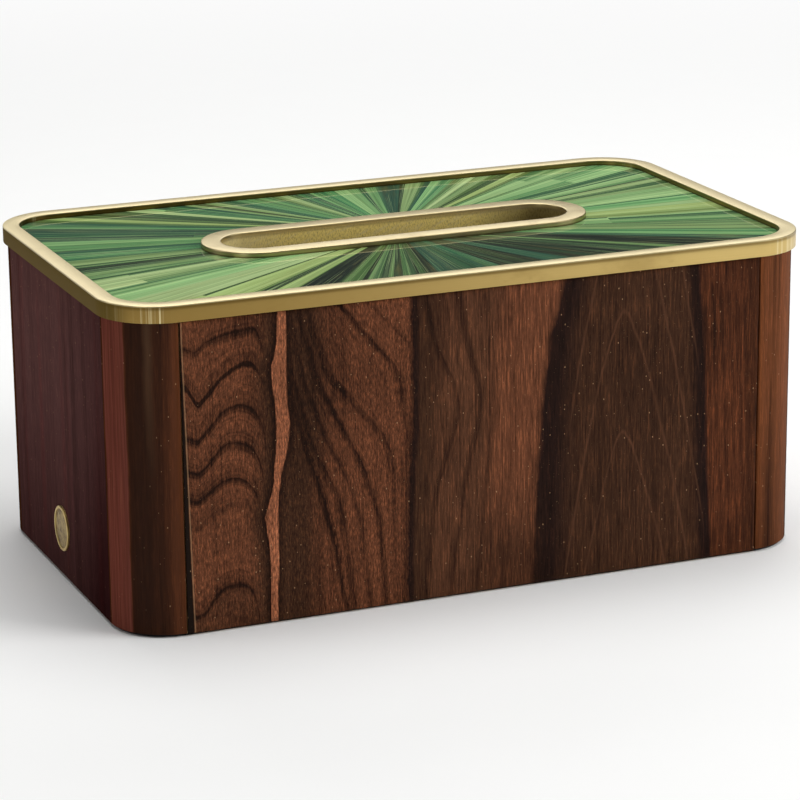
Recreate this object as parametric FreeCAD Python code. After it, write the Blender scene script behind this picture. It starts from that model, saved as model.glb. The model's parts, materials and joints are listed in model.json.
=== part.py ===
"""Tissue box with a refill drawer, in millimetres.

The box stands on its felt at Z = 0, centred on the Z axis.  +X runs along the
long side and the drawer opens towards -Y.  The walls are four rounded corner
posts with tongued panels between them; the drawer's front is the whole front
wall between the two front posts.  A brass rim frames the straw sunburst on top,
and a brass ring with a short sleeve lines the slot that the tissues leave by.
"""
import FreeCAD, Part
import math
import os

V = FreeCAD.Vector

# Brass rim round the top
rim_length = 264.0
rim_width = 153.8
rim_height = 6.0
rim_face = 6.1                # width of the flat top face
rim_corner_radius = 22.3      # outside, in plan
rim_overhang = 1.6            # how far the rim stands out past the wood
rim_edge = 0.5                # bevel on the long edges of the top face

# Wooden walls
body_height = 110.4
wall_thickness = 9.0          # core and veneer together
veneer_thickness = 0.6
tongue_thickness = 3.0
tongue_length = 4.0

# Floor of the box
base_thickness = 9.0
felt_thickness = 1.2
felt_margin = 1.2             # the felt stops this far inside the wood

# Top panel, straw rays and the ring round the slot
board_depth = 8.0             # part of the board that drops between the walls
panel_drop = 2.0              # from the rim's top down to the straw
straw_thickness = 0.5
ray_count = 52
ray_phase = 4.5               # degrees from +X to the first seam
slot_length = 134.0
slot_width = 24.5
ring_face = 7.3               # width of the ring's flat face
ring_rise = 2.0               # how far the ring stands above the straw
ring_edge = 0.4               # bevel on the ring's two upper edges
sleeve_wall = 1.2
sleeve_gap = 0.2              # round the sleeve, in the board
sleeve_reach = 1.0            # below the board

# Medallion on the left end
medallion_diameter = 16.5
medallion_height = 17.8       # centre above the foot of the wood
medallion_thickness = 0.6
medallion_rim = 1.1
medallion_hollow = 0.25       # depth of its bare middle
medallion_peg_diameter = 4.0
medallion_peg_length = 5.0

# Drawer
drawer_travel = 100.0
front_reveal = 0.5            # gap beside and above the drawer's front
front_hang = 0.4              # its lower edge below the foot of the walls
closed_gap = 0.3              # behind the drawer's front when it is shut
side_thickness = 6.0
side_inset = 0.7              # sides in from the ends of the front
back_thickness = 6.0
bottom_thickness = 3.0
bottom_rise = 3.4             # bottom panel above the sides' lower edge
bottom_groove = 3.0
lining_thickness = 1.0
lining_gap = 0.3
floor_clearance = 0.4         # drawer above the base board
sleeve_clearance = 3.0        # drawer's edge below the sleeve
rear_clearance = 1.5
tail_count = 5
tail_slope = 1.0 / 6.0
front_tail_length = 5.5       # half-blind joint in the drawer's front

# Runners, stops and magnetic catch
runner_height = 8.0
runner_engagement = 2.7       # how far a runner enters its groove
runner_clearance = 0.3
runner_setback = 5.0          # ends in from the walls' inside faces
runner_screw_inset = 20.0     # from a runner's end
stop_length = 14.0
stop_width = 7.8
stop_catch = 2.5              # how far a stop reaches below the drawer's edge
stop_clearance = 0.3
stop_place = 0.6              # share of the half opening where the stops hang
magnet_diameter = 6.0
magnet_length = 5.0
magnet_spacing = 160.0
plate_thickness = 1.5
screw_shank = 3.0
screw_head = 5.8
screw_head_height = 1.8
runner_screw_length = 19.0
stop_screw_length = 14.0

# Finger grip under the drawer's front
grip_length = 90.0
grip_radius = 6.0
notch_length = 96.0
notch_depth = 12.0
notch_corner_radius = 4.0

# Places worked out from the sizes above
half_length = rim_length / 2 - rim_overhang
half_width = rim_width / 2 - rim_overhang
corner_radius = rim_corner_radius - rim_overhang
tangent_x = half_length - corner_radius      # where a corner's curve ends
tangent_y = half_width - corner_radius
inner_x = half_length - wall_thickness
inner_y = half_width - wall_thickness
core_thickness = wall_thickness - veneer_thickness

z_wood = felt_thickness
z_floor = z_wood + base_thickness
z_rim = z_wood + body_height
z_top = z_rim + rim_height
z_straw = z_top - panel_drop
z_board = z_straw - straw_thickness
z_ceiling = z_rim - board_depth
z_sleeve = z_ceiling - sleeve_reach

front_half = tangent_x - front_reveal
front_low = z_wood - front_hang
front_high = z_rim - front_reveal
box_half = front_half - side_inset
box_inside = box_half - side_thickness
box_low = z_floor + floor_clearance
box_high = z_sleeve - sleeve_clearance
back_outside = inner_y - rear_clearance
back_inside = back_outside - back_thickness
bottom_low = box_low + bottom_rise
bottom_high = bottom_low + bottom_thickness
z_runner = (box_low + box_high) / 2
z_magnet = z_wood + base_thickness / 2


def block(x0, x1, y0, y1, z0, z1):
    """Box between two corners."""
    return Part.makeBox(x1 - x0, y1 - y0, z1 - z0, V(x0, y0, z0))


def prism(outline, z0, z1):
    """Straight-sided solid on a plan outline, given as a list of (x, y)."""
    points = [V(x, y, z0) for x, y in outline]
    face = Part.Face(Part.makePolygon(points + points[:1]))
    return face.extrude(V(0, 0, z1 - z0))


def rounded_plate(half_x, half_y, radius, z0, z1):
    """Plate centred on the Z axis, with rounded corners in plan."""
    plate = block(-half_x, half_x, -half_y, half_y, z0, z1)
    uprights = [edge for edge in plate.Edges if abs(edge.tangentAt(edge.FirstParameter).z) > 0.9]
    return plate.makeFillet(radius, uprights)


def obround(length, width, z0, z1):
    """Plate with two half-round ends, centred on the Z axis."""
    end, reach, height = width / 2, (length - width) / 2, z1 - z0
    ends = [Part.makeCylinder(end, height, V(side * reach, 0, z0)) for side in (-1, 1)]
    return ends[0].fuse([block(-reach, reach, -end, end, z0, z1), ends[1]]).removeSplitter()


def mirror_x(shape):
    return shape.mirror(V(0, 0, 0), V(1, 0, 0))


def mirror_y(shape):
    return shape.mirror(V(0, 0, 0), V(0, 1, 0))


def level_edges(shape, height):
    """Edges of a shape that lie in one level plane."""
    return [edge for edge in shape.Edges
            if abs(edge.BoundBox.ZMin - height) < 1e-4 and abs(edge.BoundBox.ZMax - height) < 1e-4]


def inner_outline():
    """Plan of the space between the walls, with the posts' flat inside corners."""
    return [(inner_x, -tangent_y), (inner_x, tangent_y), (tangent_x, inner_y), (-tangent_x, inner_y),
            (-inner_x, tangent_y), (-inner_x, -tangent_y), (-tangent_x, -inner_y), (tangent_x, -inner_y)]


def between_walls(z0, z1):
    """Board that fills the space between the walls and clears the shut drawer's front."""
    board = prism(inner_outline(), z0, z1)
    return board.cut(block(-half_length, half_length, -half_width, closed_gap - inner_y, z0, z1))


def finger_notch(z0, z1):
    """Room for fingertips behind the drawer's lower edge."""
    front_edge = closed_gap - inner_y
    reach = notch_depth + notch_corner_radius
    notch = block(-notch_length / 2, notch_length / 2, front_edge - reach, front_edge + notch_depth, z0, z1)
    corners = [edge for edge in notch.Edges
               if edge.BoundBox.ZLength > 0.5 * (z1 - z0) and edge.BoundBox.YMin > front_edge]
    return notch.makeFillet(notch_corner_radius, corners)


def screw(length, head_centre, direction):
    """Countersunk screw whose flat head starts at head_centre."""
    head = Part.makeCone(screw_head / 2, screw_shank / 2, screw_head_height, head_centre, direction)
    shank_start = head_centre + direction * screw_head_height
    shank = Part.makeCylinder(screw_shank / 2, length - screw_head_height, shank_start, direction)
    return head.fuse(shank).removeSplitter()


# ---------------------------------------------------------------- the walls

def corner_post():
    """Post at +X +Y: quarter round outside, flat inside, grooved for both panels."""
    arc_middle = corner_radius * math.sqrt(0.5)
    start, end = V(tangent_x, half_width, z_wood), V(half_length, tangent_y, z_wood)
    middle = V(tangent_x + arc_middle, tangent_y + arc_middle, z_wood)
    inside = [end, V(inner_x, tangent_y, z_wood), V(tangent_x, inner_y, z_wood), start]
    outline = Part.Wire([Part.Arc(start, middle, end).toShape()] + Part.makePolygon(inside).Edges)
    return Part.Face(outline).extrude(V(0, 0, body_height))


def end_tongues():
    """Core of the +X end panel's two tongues, as one bar through the panel."""
    middle = inner_x + core_thickness / 2
    reach = tangent_y + tongue_length
    return block(middle - tongue_thickness / 2, middle + tongue_thickness / 2, -reach, reach, z_wood, z_rim)


def back_tongues():
    middle = inner_y + core_thickness / 2
    reach = tangent_x + tongue_length
    return block(-reach, reach, middle - tongue_thickness / 2, middle + tongue_thickness / 2, z_wood, z_rim)


def end_panel():
    core = block(inner_x, inner_x + core_thickness, -tangent_y, tangent_y, z_wood, z_rim)
    return core.fuse(end_tongues()).removeSplitter()


def back_panel():
    core = block(-tangent_x, tangent_x, inner_y, inner_y + core_thickness, z_wood, z_rim)
    return core.fuse(back_tongues()).removeSplitter()


def medallion():
    """Plain coin with a raised rim and a peg, on the outside of the left end."""
    radius, peg = medallion_diameter / 2, medallion_peg_diameter / 2
    middle = radius - medallion_rim
    profile = [(0, -medallion_peg_length), (peg, -medallion_peg_length), (peg, 0), (radius, 0),
               (radius, 0.7 * medallion_thickness), (radius - 0.3 * medallion_thickness, medallion_thickness),
               (middle, medallion_thickness), (middle - medallion_hollow, medallion_thickness - medallion_hollow),
               (0, medallion_thickness - medallion_hollow)]
    points = [V(r, 0, out) for r, out in profile]
    coin = Part.Face(Part.makePolygon(points + points[:1])).revolve(V(0, 0, 0), V(0, 0, 1), 360)
    coin = Part.makeSolid(coin) if coin.ShapeType == "Shell" else coin
    coin.rotate(V(0, 0, 0), V(0, 1, 0), -90)
    coin.translate(V(-half_length, 0, z_wood + medallion_height))
    return coin


def build_walls():
    """Posts, panels and veneers, each with the holes for what is fixed to it."""
    post_back = corner_post().cut(end_tongues()).cut(back_tongues())
    post_front = mirror_y(corner_post()).cut(end_tongues())
    panel = end_panel()
    veneer = block(half_length - veneer_thickness, half_length, -tangent_y, tangent_y, z_wood, z_rim)
    coin = medallion()
    screws = runner_screws()
    return {
        "post_back_right": post_back,
        "post_back_left": mirror_x(post_back),
        "post_front_right": post_front,
        "post_front_left": mirror_x(post_front),
        "end_panel_right": panel.cut(screws[:2]),
        "end_panel_left": mirror_x(panel).cut(screws[2:] + [coin]),
        "back_panel": back_panel(),
        "veneer_end_right": veneer,
        "veneer_end_left": mirror_x(veneer).cut(coin),
        "veneer_back": block(-tangent_x, tangent_x, half_width - veneer_thickness, half_width, z_wood, z_rim),
        "medallion": coin,
    }


# ------------------------------------------------------- floor of the box

def magnets():
    face = closed_gap - inner_y
    return [Part.makeCylinder(magnet_diameter / 2, magnet_length, V(side * magnet_spacing / 2, face, z_magnet),
                              V(0, 1, 0)) for side in (-1, 1)]


def base_board():
    return between_walls(z_wood, z_floor).cut([finger_notch(z_wood - 1, z_floor + 1)] + magnets())


def base_felt():
    """Felt under the case only, so that the drawer's front hangs free."""
    felt = rounded_plate(half_length - felt_margin, half_width - felt_margin, corner_radius - felt_margin, 0, z_wood)
    under_front = block(-tangent_x, tangent_x, -half_width, closed_gap - inner_y, 0, z_wood)
    return felt.cut([under_front, finger_notch(-1, z_wood + 1)])


# ------------------------------------------------------------------ the top

def brass_rim():
    """Square-section brass frame with bevelled upper edges."""
    outer = rounded_plate(rim_length / 2, rim_width / 2, rim_corner_radius, z_rim, z_top)
    inner = rounded_plate(rim_length / 2 - rim_face, rim_width / 2 - rim_face, rim_corner_radius - rim_face,
                          z_rim - 1, z_top + 1)
    frame = outer.cut(inner)
    return frame.makeChamfer(rim_edge, level_edges(frame, z_top))


def sleeve_hole(z0, z1):
    wide = 2 * (sleeve_wall + sleeve_gap)
    return obround(slot_length + wide, slot_width + wide, z0, z1)


def top_panel_outline(z0, z1):
    return rounded_plate(rim_length / 2 - rim_face, rim_width / 2 - rim_face, rim_corner_radius - rim_face, z0, z1)


def top_board():
    """Rebated board: its edge lies on the walls and its body drops between them."""
    board = top_panel_outline(z_rim, z_board).fuse(between_walls(z_ceiling, z_rim)).removeSplitter()
    return board.cut([sleeve_hole(z_ceiling - 1, z_board + 1)] + stop_screws())


def straw_rays():
    """Sunburst of straw wedges that meet along rays from the middle of the top."""
    sheet = top_panel_outline(z_board, z_straw).cut(sleeve_hole(z_board - 1, z_straw + 1))
    far = rim_length
    step = 360.0 / ray_count
    rays = []
    for index in range(ray_count):
        first, second = [math.radians(ray_phase + step * (index + side)) for side in (0, 1)]
        wedge = prism([(0, 0), (far * math.cos(first), far * math.sin(first)),
                       (far * math.cos(second), far * math.sin(second))], z_board, z_straw)
        rays += sheet.common(wedge).Solids
    return rays


def slot_ring():
    """Flat brass ring with a sleeve that lines the slot."""
    ring = obround(slot_length + 2 * ring_face, slot_width + 2 * ring_face, z_straw, z_straw + ring_rise)
    sleeve = obround(slot_length + 2 * sleeve_wall, slot_width + 2 * sleeve_wall, z_sleeve, z_straw + ring_rise)
    slot = obround(slot_length, slot_width, z_sleeve - 1, z_straw + ring_rise + 1)
    ring = ring.fuse(sleeve).cut(slot).removeSplitter()
    return ring.makeChamfer(ring_edge, level_edges(ring, z_straw + ring_rise))


# --------------------------------------------------- runners and their stops

def runner():
    """Runner at +X, glued between the posts and let into the drawer's side."""
    inside = box_half - runner_engagement
    end = inner_y - runner_setback
    shoulder = tangent_x + runner_setback
    outline = [(inside, -end), (shoulder, -end), (inner_x, -tangent_y), (inner_x, tangent_y),
               (shoulder, end), (inside, end)]
    return prism(outline, z_runner - runner_height / 2, z_runner + runner_height / 2)


def runner_screws():
    """Two screws to a runner: the first two are at +X, the others at -X."""
    inside = box_half - runner_engagement
    place = inner_y - runner_setback - runner_screw_inset
    right = [screw(runner_screw_length, V(inside, y, z_runner), V(1, 0, 0)) for y in (-place, place)]
    return right + [mirror_x(one) for one in right]


def stop_front():
    """Front face of the stops: their rear face waits for the opened drawer's back."""
    return back_inside - drawer_travel - stop_clearance - stop_width


def stop_blocks():
    low = box_high - stop_catch
    centre = stop_place * box_inside
    right = block(centre - stop_length / 2, centre + stop_length / 2,
                  stop_front(), stop_front() + stop_width, low, z_ceiling)
    return [right, mirror_x(right)]


def stop_screws():
    low = box_high - stop_catch
    return [screw(stop_screw_length, V(side * stop_place * box_inside, stop_front() + stop_width / 2, low),
                  V(0, 0, 1)) for side in (-1, 1)]


# ---------------------------------------------------------------- the drawer

def tails(y_shoulder, y_tip):
    """Dovetails on the end of the +X side, wider at their tip."""
    pitch = (box_high - box_low) / tail_count
    spread = abs(y_tip - y_shoulder) * tail_slope
    result = []
    for index in range(tail_count):
        centre = box_low + pitch * (index + 0.5)
        tip = 0.40 * pitch
        neck = tip - spread
        corners = [(y_shoulder, centre - neck), (y_tip, centre - tip), (y_tip, centre + tip),
                   (y_shoulder, centre + neck)]
        points = [V(box_inside, y, z) for y, z in corners]
        result.append(Part.Face(Part.makePolygon(points + points[:1])).extrude(V(side_thickness, 0, 0)))
    return result


def front_tails():
    return tails(-inner_y, -inner_y - front_tail_length)


def back_tails():
    return tails(back_inside, back_outside)


def drawer_bottom():
    """Thin panel held in grooves on all four sides."""
    reach = box_inside + bottom_groove
    return block(-reach, reach, -inner_y - bottom_groove, back_inside + bottom_groove, bottom_low, bottom_high)


def runner_groove():
    high = runner_height / 2 + runner_clearance
    depth = runner_engagement + runner_clearance
    end = inner_y - runner_setback + 2 * runner_clearance
    return block(box_half - depth, box_half + 1, -end, inner_y, z_runner - high, z_runner + high)


def drawer_side():
    board = block(box_inside, box_half, -inner_y, back_inside, box_low, box_high)
    return board.fuse(front_tails() + back_tails()).removeSplitter().cut([drawer_bottom(), runner_groove()])


def drawer_back():
    board = block(-box_half, box_half, back_inside, back_outside, box_low, box_high)
    right = back_tails()
    return board.cut(right + [mirror_x(tail) for tail in right] + [drawer_bottom(), runner_groove(),
                                                                   mirror_x(runner_groove())])


def catch_plates():
    return [Part.makeCylinder(magnet_diameter / 2, plate_thickness,
                              V(side * magnet_spacing / 2, -inner_y - plate_thickness, z_magnet), V(0, 1, 0))
            for side in (-1, 1)]


def finger_grip():
    """Round-ended cove in the front's lower inside edge."""
    reach = grip_length / 2 - grip_radius
    bar = Part.makeCylinder(grip_radius, 2 * reach, V(-reach, -inner_y, front_low), V(1, 0, 0))
    ends = [Part.makeSphere(grip_radius, V(side * reach, -inner_y, front_low)) for side in (-1, 1)]
    return bar.fuse(ends).removeSplitter()


def drawer_front():
    """Core of the front wall, socketed for the sides and coved for the fingers."""
    core = block(-front_half, front_half, -inner_y - core_thickness, -inner_y, front_low, front_high)
    right = front_tails()
    sockets = right + [mirror_x(tail) for tail in right]
    return core.cut(sockets + [drawer_bottom(), finger_grip()] + catch_plates())


def build_drawer():
    side = drawer_side()
    return {
        "drawer_front": drawer_front(),
        "drawer_veneer": block(-front_half, front_half, -half_width, veneer_thickness - half_width,
                               front_low, front_high),
        "drawer_side_right": side,
        "drawer_side_left": mirror_x(side),
        "drawer_back": drawer_back(),
        "drawer_bottom": drawer_bottom(),
        "drawer_lining": block(lining_gap - box_inside, box_inside - lining_gap, lining_gap - inner_y,
                               back_inside - lining_gap, bottom_high, bottom_high + lining_thickness),
        "catch_plates": Part.makeCompound(catch_plates()),
    }


def build_case():
    right_runner = runner()
    screws = runner_screws()
    return {
        "base_board": base_board(),
        "base_felt": base_felt(),
        "catch_magnets": Part.makeCompound(magnets()),
        "brass_rim": brass_rim(),
        "top_board": top_board(),
        "straw_sunburst": Part.makeCompound(straw_rays()),
        "slot_ring": slot_ring(),
        "runner_right": right_runner.cut(screws[:2]),
        "runner_left": mirror_x(right_runner).cut(screws[2:]),
        "runner_screws": Part.makeCompound(screws),
        "drawer_stops": Part.makeCompound([stop.cut(stop_screws()) for stop in stop_blocks()]),
        "stop_screws": Part.makeCompound(stop_screws()),
    }


def main():
    os.makedirs("parts", exist_ok=True)
    nodes = {**build_walls(), **build_case(), **build_drawer()}
    for name, shape in nodes.items():
        shape.exportStep("parts/" + name + ".step")
        print(name, shape.ShapeType, len(shape.Solids), "solids, valid", shape.isValid(),
              "volume", round(shape.Volume, 1))


main()
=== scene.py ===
"""Tissue box with a drawer: its finishes, its finely shaped pieces and its stage.

The packed model is loaded as a fixed frame. Each operator below models or finishes one piece, or one
group of like pieces, around it. Every length is in metres and every place is in the model's own frame:
X along the box, Y towards its back, Z up, and the floor at zero.
"""
import json
import math

import bmesh
import bpy
import numpy as np
from mathutils import Matrix, Vector

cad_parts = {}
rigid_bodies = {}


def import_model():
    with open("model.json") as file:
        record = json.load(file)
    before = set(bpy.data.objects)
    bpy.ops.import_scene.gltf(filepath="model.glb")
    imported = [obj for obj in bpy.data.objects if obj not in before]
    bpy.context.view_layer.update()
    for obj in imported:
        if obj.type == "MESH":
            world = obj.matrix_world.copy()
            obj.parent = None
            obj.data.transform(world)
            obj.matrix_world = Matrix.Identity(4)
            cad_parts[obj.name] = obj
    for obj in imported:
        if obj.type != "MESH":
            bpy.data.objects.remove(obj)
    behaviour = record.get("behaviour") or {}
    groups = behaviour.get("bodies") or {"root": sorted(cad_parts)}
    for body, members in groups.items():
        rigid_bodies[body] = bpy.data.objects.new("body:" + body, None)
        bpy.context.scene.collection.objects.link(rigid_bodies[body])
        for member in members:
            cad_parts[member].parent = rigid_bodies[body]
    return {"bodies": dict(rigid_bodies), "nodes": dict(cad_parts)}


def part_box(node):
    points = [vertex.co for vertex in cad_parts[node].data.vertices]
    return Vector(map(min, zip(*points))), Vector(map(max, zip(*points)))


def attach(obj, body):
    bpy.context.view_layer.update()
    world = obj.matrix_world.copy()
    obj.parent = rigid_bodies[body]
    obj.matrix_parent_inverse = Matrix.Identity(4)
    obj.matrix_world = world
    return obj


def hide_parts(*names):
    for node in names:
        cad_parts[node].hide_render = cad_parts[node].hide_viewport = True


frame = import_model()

bl_info = {
    "name": "Tissue Box With Drawer",
    "version": (1, 0, 0),
    "blender": (4, 5, 0),
    "location": "View3D > Sidebar > Tissue Box",
    "description": "Finishes, fine shapes and stage of a veneered tissue box with a drawer",
    "category": "Object",
}

MM = 0.001
X, Y, Z = 0, 1, 2
NODES = frame["nodes"]


def clear_start_objects():
    """Removes whatever a new Blender file holds besides the frame."""
    kept = set(NODES.values()) | set(frame["bodies"].values())
    for obj in [obj for obj in bpy.data.objects if obj not in kept]:
        bpy.data.objects.remove(obj)


clear_start_objects()
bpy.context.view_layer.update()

RIM_LOW, RIM_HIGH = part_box("brass_rim")
RING_LOW, RING_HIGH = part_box("slot_ring")
RING_STRAIGHT = RING_HIGH.x - RING_HIGH.y
VENEER_LOW, VENEER_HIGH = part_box("drawer_veneer")
POST_LOW, POST_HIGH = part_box("post_back_right")
FELT_LOW, FELT_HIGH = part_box("base_felt")
LINING_LOW, LINING_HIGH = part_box("drawer_lining")
COIN_LOW, COIN_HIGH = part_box("medallion")
COIN_RADIUS = (COIN_HIGH.z - COIN_LOW.z) / 2
COIN_MIDDLE = (COIN_LOW.z + COIN_HIGH.z) / 2
# Level of the straw's face, which the brass sits on
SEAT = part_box("straw_sunburst")[1].z
BOARD_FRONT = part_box("base_board")[0].y


def tint(code):
    """Scene-linear colour of a hexadecimal screen colour."""
    parts = [int(code[place:place + 2], 16) / 255 for place in (0, 2, 4)]
    return tuple(part / 12.92 if part <= 0.04045 else ((part + 0.055) / 1.055) ** 2.4 for part in parts)


def dimmed(shade, share):
    """A colour at a share of its light."""
    return tuple(share * part for part in shade)


# ------------------------------------------------------------------ settings

def length(label, about, millimetres):
    return bpy.props.FloatProperty(name=label, description=about, default=millimetres * MM,
                                   min=0.0, precision=5, unit="LENGTH")


def amount(label, about, value):
    return bpy.props.FloatProperty(name=label, description=about, default=value, min=0.0, max=1.0,
                                   subtype="FACTOR")


def colour(label, about, code):
    return bpy.props.FloatVectorProperty(name=label, description=about, default=tint(code),
                                         size=3, min=0.0, max=1.0, subtype="COLOR")


def watts(label, about, value):
    return bpy.props.FloatProperty(name=label, description=about, default=value, min=0.0, unit="POWER")


class TissueBoxSizes(bpy.types.PropertyGroup):
    """Sizes of the details that are finer than the frame's."""
    rim_face: length("Rim face", "Width of the brass rim's top face", 6.1)
    rim_radius: length("Rim corner", "Radius of the rim's outer corners", 22.3)
    rim_edge: length("Rim edge", "Width of the eased edge round the rim's top", 0.3)
    ring_face: length("Ring face", "Width of the slot ring's flat face", 7.3)
    ring_edge: length("Ring edge", "Width of the eased edge round the slot ring", 0.45)
    sleeve_wall: length("Sleeve wall", "Thickness of the sleeve that lines the slot", 1.2)
    post_radius: length("Post radius", "Radius of the quarter-round posts", 20.7)
    post_edge: length("Post edge", "Width of the eased edges where a post meets a panel", 0.05)
    veneer_edge: length("Veneer edge", "Width of the eased edge round the drawer's veneer", 0.2)
    grid_step: length("Figure step", "Spacing along the veneer of its points, twice that up it", 1.0)
    coin_rim: length("Coin rim", "Width of the coin's raised rim", 1.1)
    coin_hollow: length("Coin hollow", "Depth of the coin's bare middle", 0.25)


class TissueBoxWood(bpy.types.PropertyGroup):
    """Colours of the rosewood, the drawer's wood and the boards."""
    light: colour("Light wood", "Early wood between the dark lines of the figured front", "6c412b")
    dark: colour("Dark lines", "Late wood that draws the figure", "1f0f07")
    sliver: colour("Sapwood sliver", "Pale orange sliver in the figured front", "9c6144")
    shade: colour("Dark streaks", "Near-black streaks in the figured front", "20120e")
    grey: colour("Greyish wood", "Greyish brown heartwood with cathedral arches", "432a1b")
    grey_line: colour("Greyish lines", "Pinkish arches in the greyish wood", "68432f")
    bulge: colour("Bulging wood", "Brown wood between the bulging lines", "5c3a27")
    red: colour("Reddish wood", "Reddish straight-grained wood at the right of the front", "5a311c")
    post: colour("Post", "Very dark wood of the posts", "4a2816")
    post_warm: colour("Right post", "Warmer wood of the posts at the right", "623820")
    post_strip: colour("Post strip", "Reddish strip down the front left post", "8c4b40")
    end: colour("End veneer", "Purple-brown veneer of the ends", "593c3a")
    # The pores' colour also serves for painted highlights on the front left post and beside the drawer's
    # left seam
    fleck_and_highlight: colour("Pores", "Small light flecks where pores are filled", "c39a72")
    pale: colour("Drawer wood", "Pale hardwood of the drawer's box and the runners", "c8a273")
    pale_line: colour("Drawer wood lines", "Growth lines in the drawer's wood", "a67d4f")
    pale_end: colour("Drawer end grain", "Flecks on the ends of the drawer's wood", "7a5733")
    ply: colour("Board", "Birch plies that lie along the light", "cdaf80")
    ply_end: colour("Board end grain", "Birch plies seen on their ends", "95713f")
    glue: colour("Glue lines", "Dark lines between the birch plies", "5d4327")


class TissueBoxTop(bpy.types.PropertyGroup):
    """Colours of the straw sunburst."""
    deep: colour("Deep green", "Near-black green splints", "15241a")
    dark: colour("Dark green", "Dark splints", "2f4a30")
    middle: colour("Middle green", "Most of the splints", "527a48")
    leaf: colour("Leaf green", "Light yellowish green splints", "84a266")
    pale: colour("Pale green", "The lightest splints", "b2cb8c")
    teal: colour("Teal", "Bluish cast of some splints", "5aa888")
    straw: colour("Olive straw", "Cast of splints that took little dye", "97894a")


class TissueBoxMetal(bpy.types.PropertyGroup):
    """Colours of the brass, steel and magnets."""
    # The level brass and the darker side brass are lit and shaded copies of one brass: painted light and
    # shade
    brass: colour("Satin brass", "Level faces of the rim and the ring", "e0d0a0")
    side: colour("Brass sides", "Upright faces of the rim, and the coin", "d2b775")
    # The handled brass's colour also serves for painted shade on the rim and in the sleeve
    worn_and_shaded: colour("Handled brass", "Brass dulled by handling", "8b713c")
    sleeve: colour("Textured brass", "Sleeve inside the slot", "f6e088")
    steel: colour("Plated steel", "Screws and catch plates", "9c9a93")
    nickel: colour("Nickel plate", "Magnets of the catch", "c3c3c7")


class TissueBoxFelt(bpy.types.PropertyGroup):
    """Colours of the felts."""
    base: colour("Base felt", "Felt under the case", "121212")
    base_fibre: colour("Base fibres", "Lighter fibres in the base felt", "26241f")
    lining: colour("Lining felt", "Felt in the drawer", "20251d")
    lining_fibre: colour("Lining fibres", "Lighter fibres in the lining felt", "343a2c")


class TissueBoxStage(bpy.types.PropertyGroup):
    """Floor and light."""
    floor: colour("Floor", "Plain pale floor", "f8f8f7")
    world: amount("Surroundings", "Brightness of the surroundings", 0.07)
    top: watts("Top light", "Power of the light overhead", 18.0)
    back: watts("Back light", "Power of the high light behind the box", 22.0)
    key: watts("Key light", "Power of the light at the right front", 34.0)
    fill: watts("Fill light", "Power of the wide light behind the key light", 12.0)
    side: watts("Side light", "Power of the light at the left", 4.0)
    strip: watts("Strip light", "Power of the narrow upright light", 1.6)


def settings():
    return bpy.context.scene.tissue_box_sizes


def woods():
    return bpy.context.scene.tissue_box_wood


# ------------------------------------------------------- materials in Python

class Wire:
    """A node's output that takes part in Python expressions, with numbers or with other wires."""

    def __init__(self, finish, socket):
        self.finish = finish
        self.socket = socket

    def math(self, operation, *others):
        return self.finish.math(operation, self, *others)

    def __add__(self, other):
        return self.math("ADD", other)

    def __sub__(self, other):
        return self.math("SUBTRACT", other)

    def __rsub__(self, other):
        return self.finish.math("SUBTRACT", other, self)

    def __mul__(self, other):
        return self.math("MULTIPLY", other)

    def __truediv__(self, other):
        return self.math("DIVIDE", other)

    def __neg__(self):
        return self.math("MULTIPLY", -1.0)

    def __abs__(self):
        return self.math("ABSOLUTE")

    __radd__ = __add__
    __rmul__ = __mul__

    def floor(self):
        return self.math("FLOOR")

    def fract(self):
        return self.math("FRACT")

    def at_least(self, least):
        return self.math("MAXIMUM", least)

    def at_most(self, most):
        return self.math("MINIMUM", most)

    def rise(self, low, high):
        """Smooth step from 0 at low to 1 at high."""
        return self.finish.node("ShaderNodeMapRange", {"interpolation_type": "SMOOTHSTEP"},
                                {"Value": self, "From Min": low, "From Max": high})

    def fall(self, low, high):
        """Smooth step from 1 at low to 0 at high."""
        return 1.0 - self.rise(low, high)

    def band(self, low, high, soft):
        """1 between low and high, fading to 0 over the soft width on both sides."""
        return self.rise(low - soft, low + soft) * self.fall(high - soft, high + soft)

    def ramp(self, stops):
        """Colour from a list of (place, colour) stops."""
        return self.finish.node("ShaderNodeValToRGB", {"stops": stops}, {"Fac": self})

    def level(self, stops):
        """Number from a list of (place, number) stops."""
        return self.ramp([(place, (value,) * 3) for place, value in stops]).math("ADD", 0.0)


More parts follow.
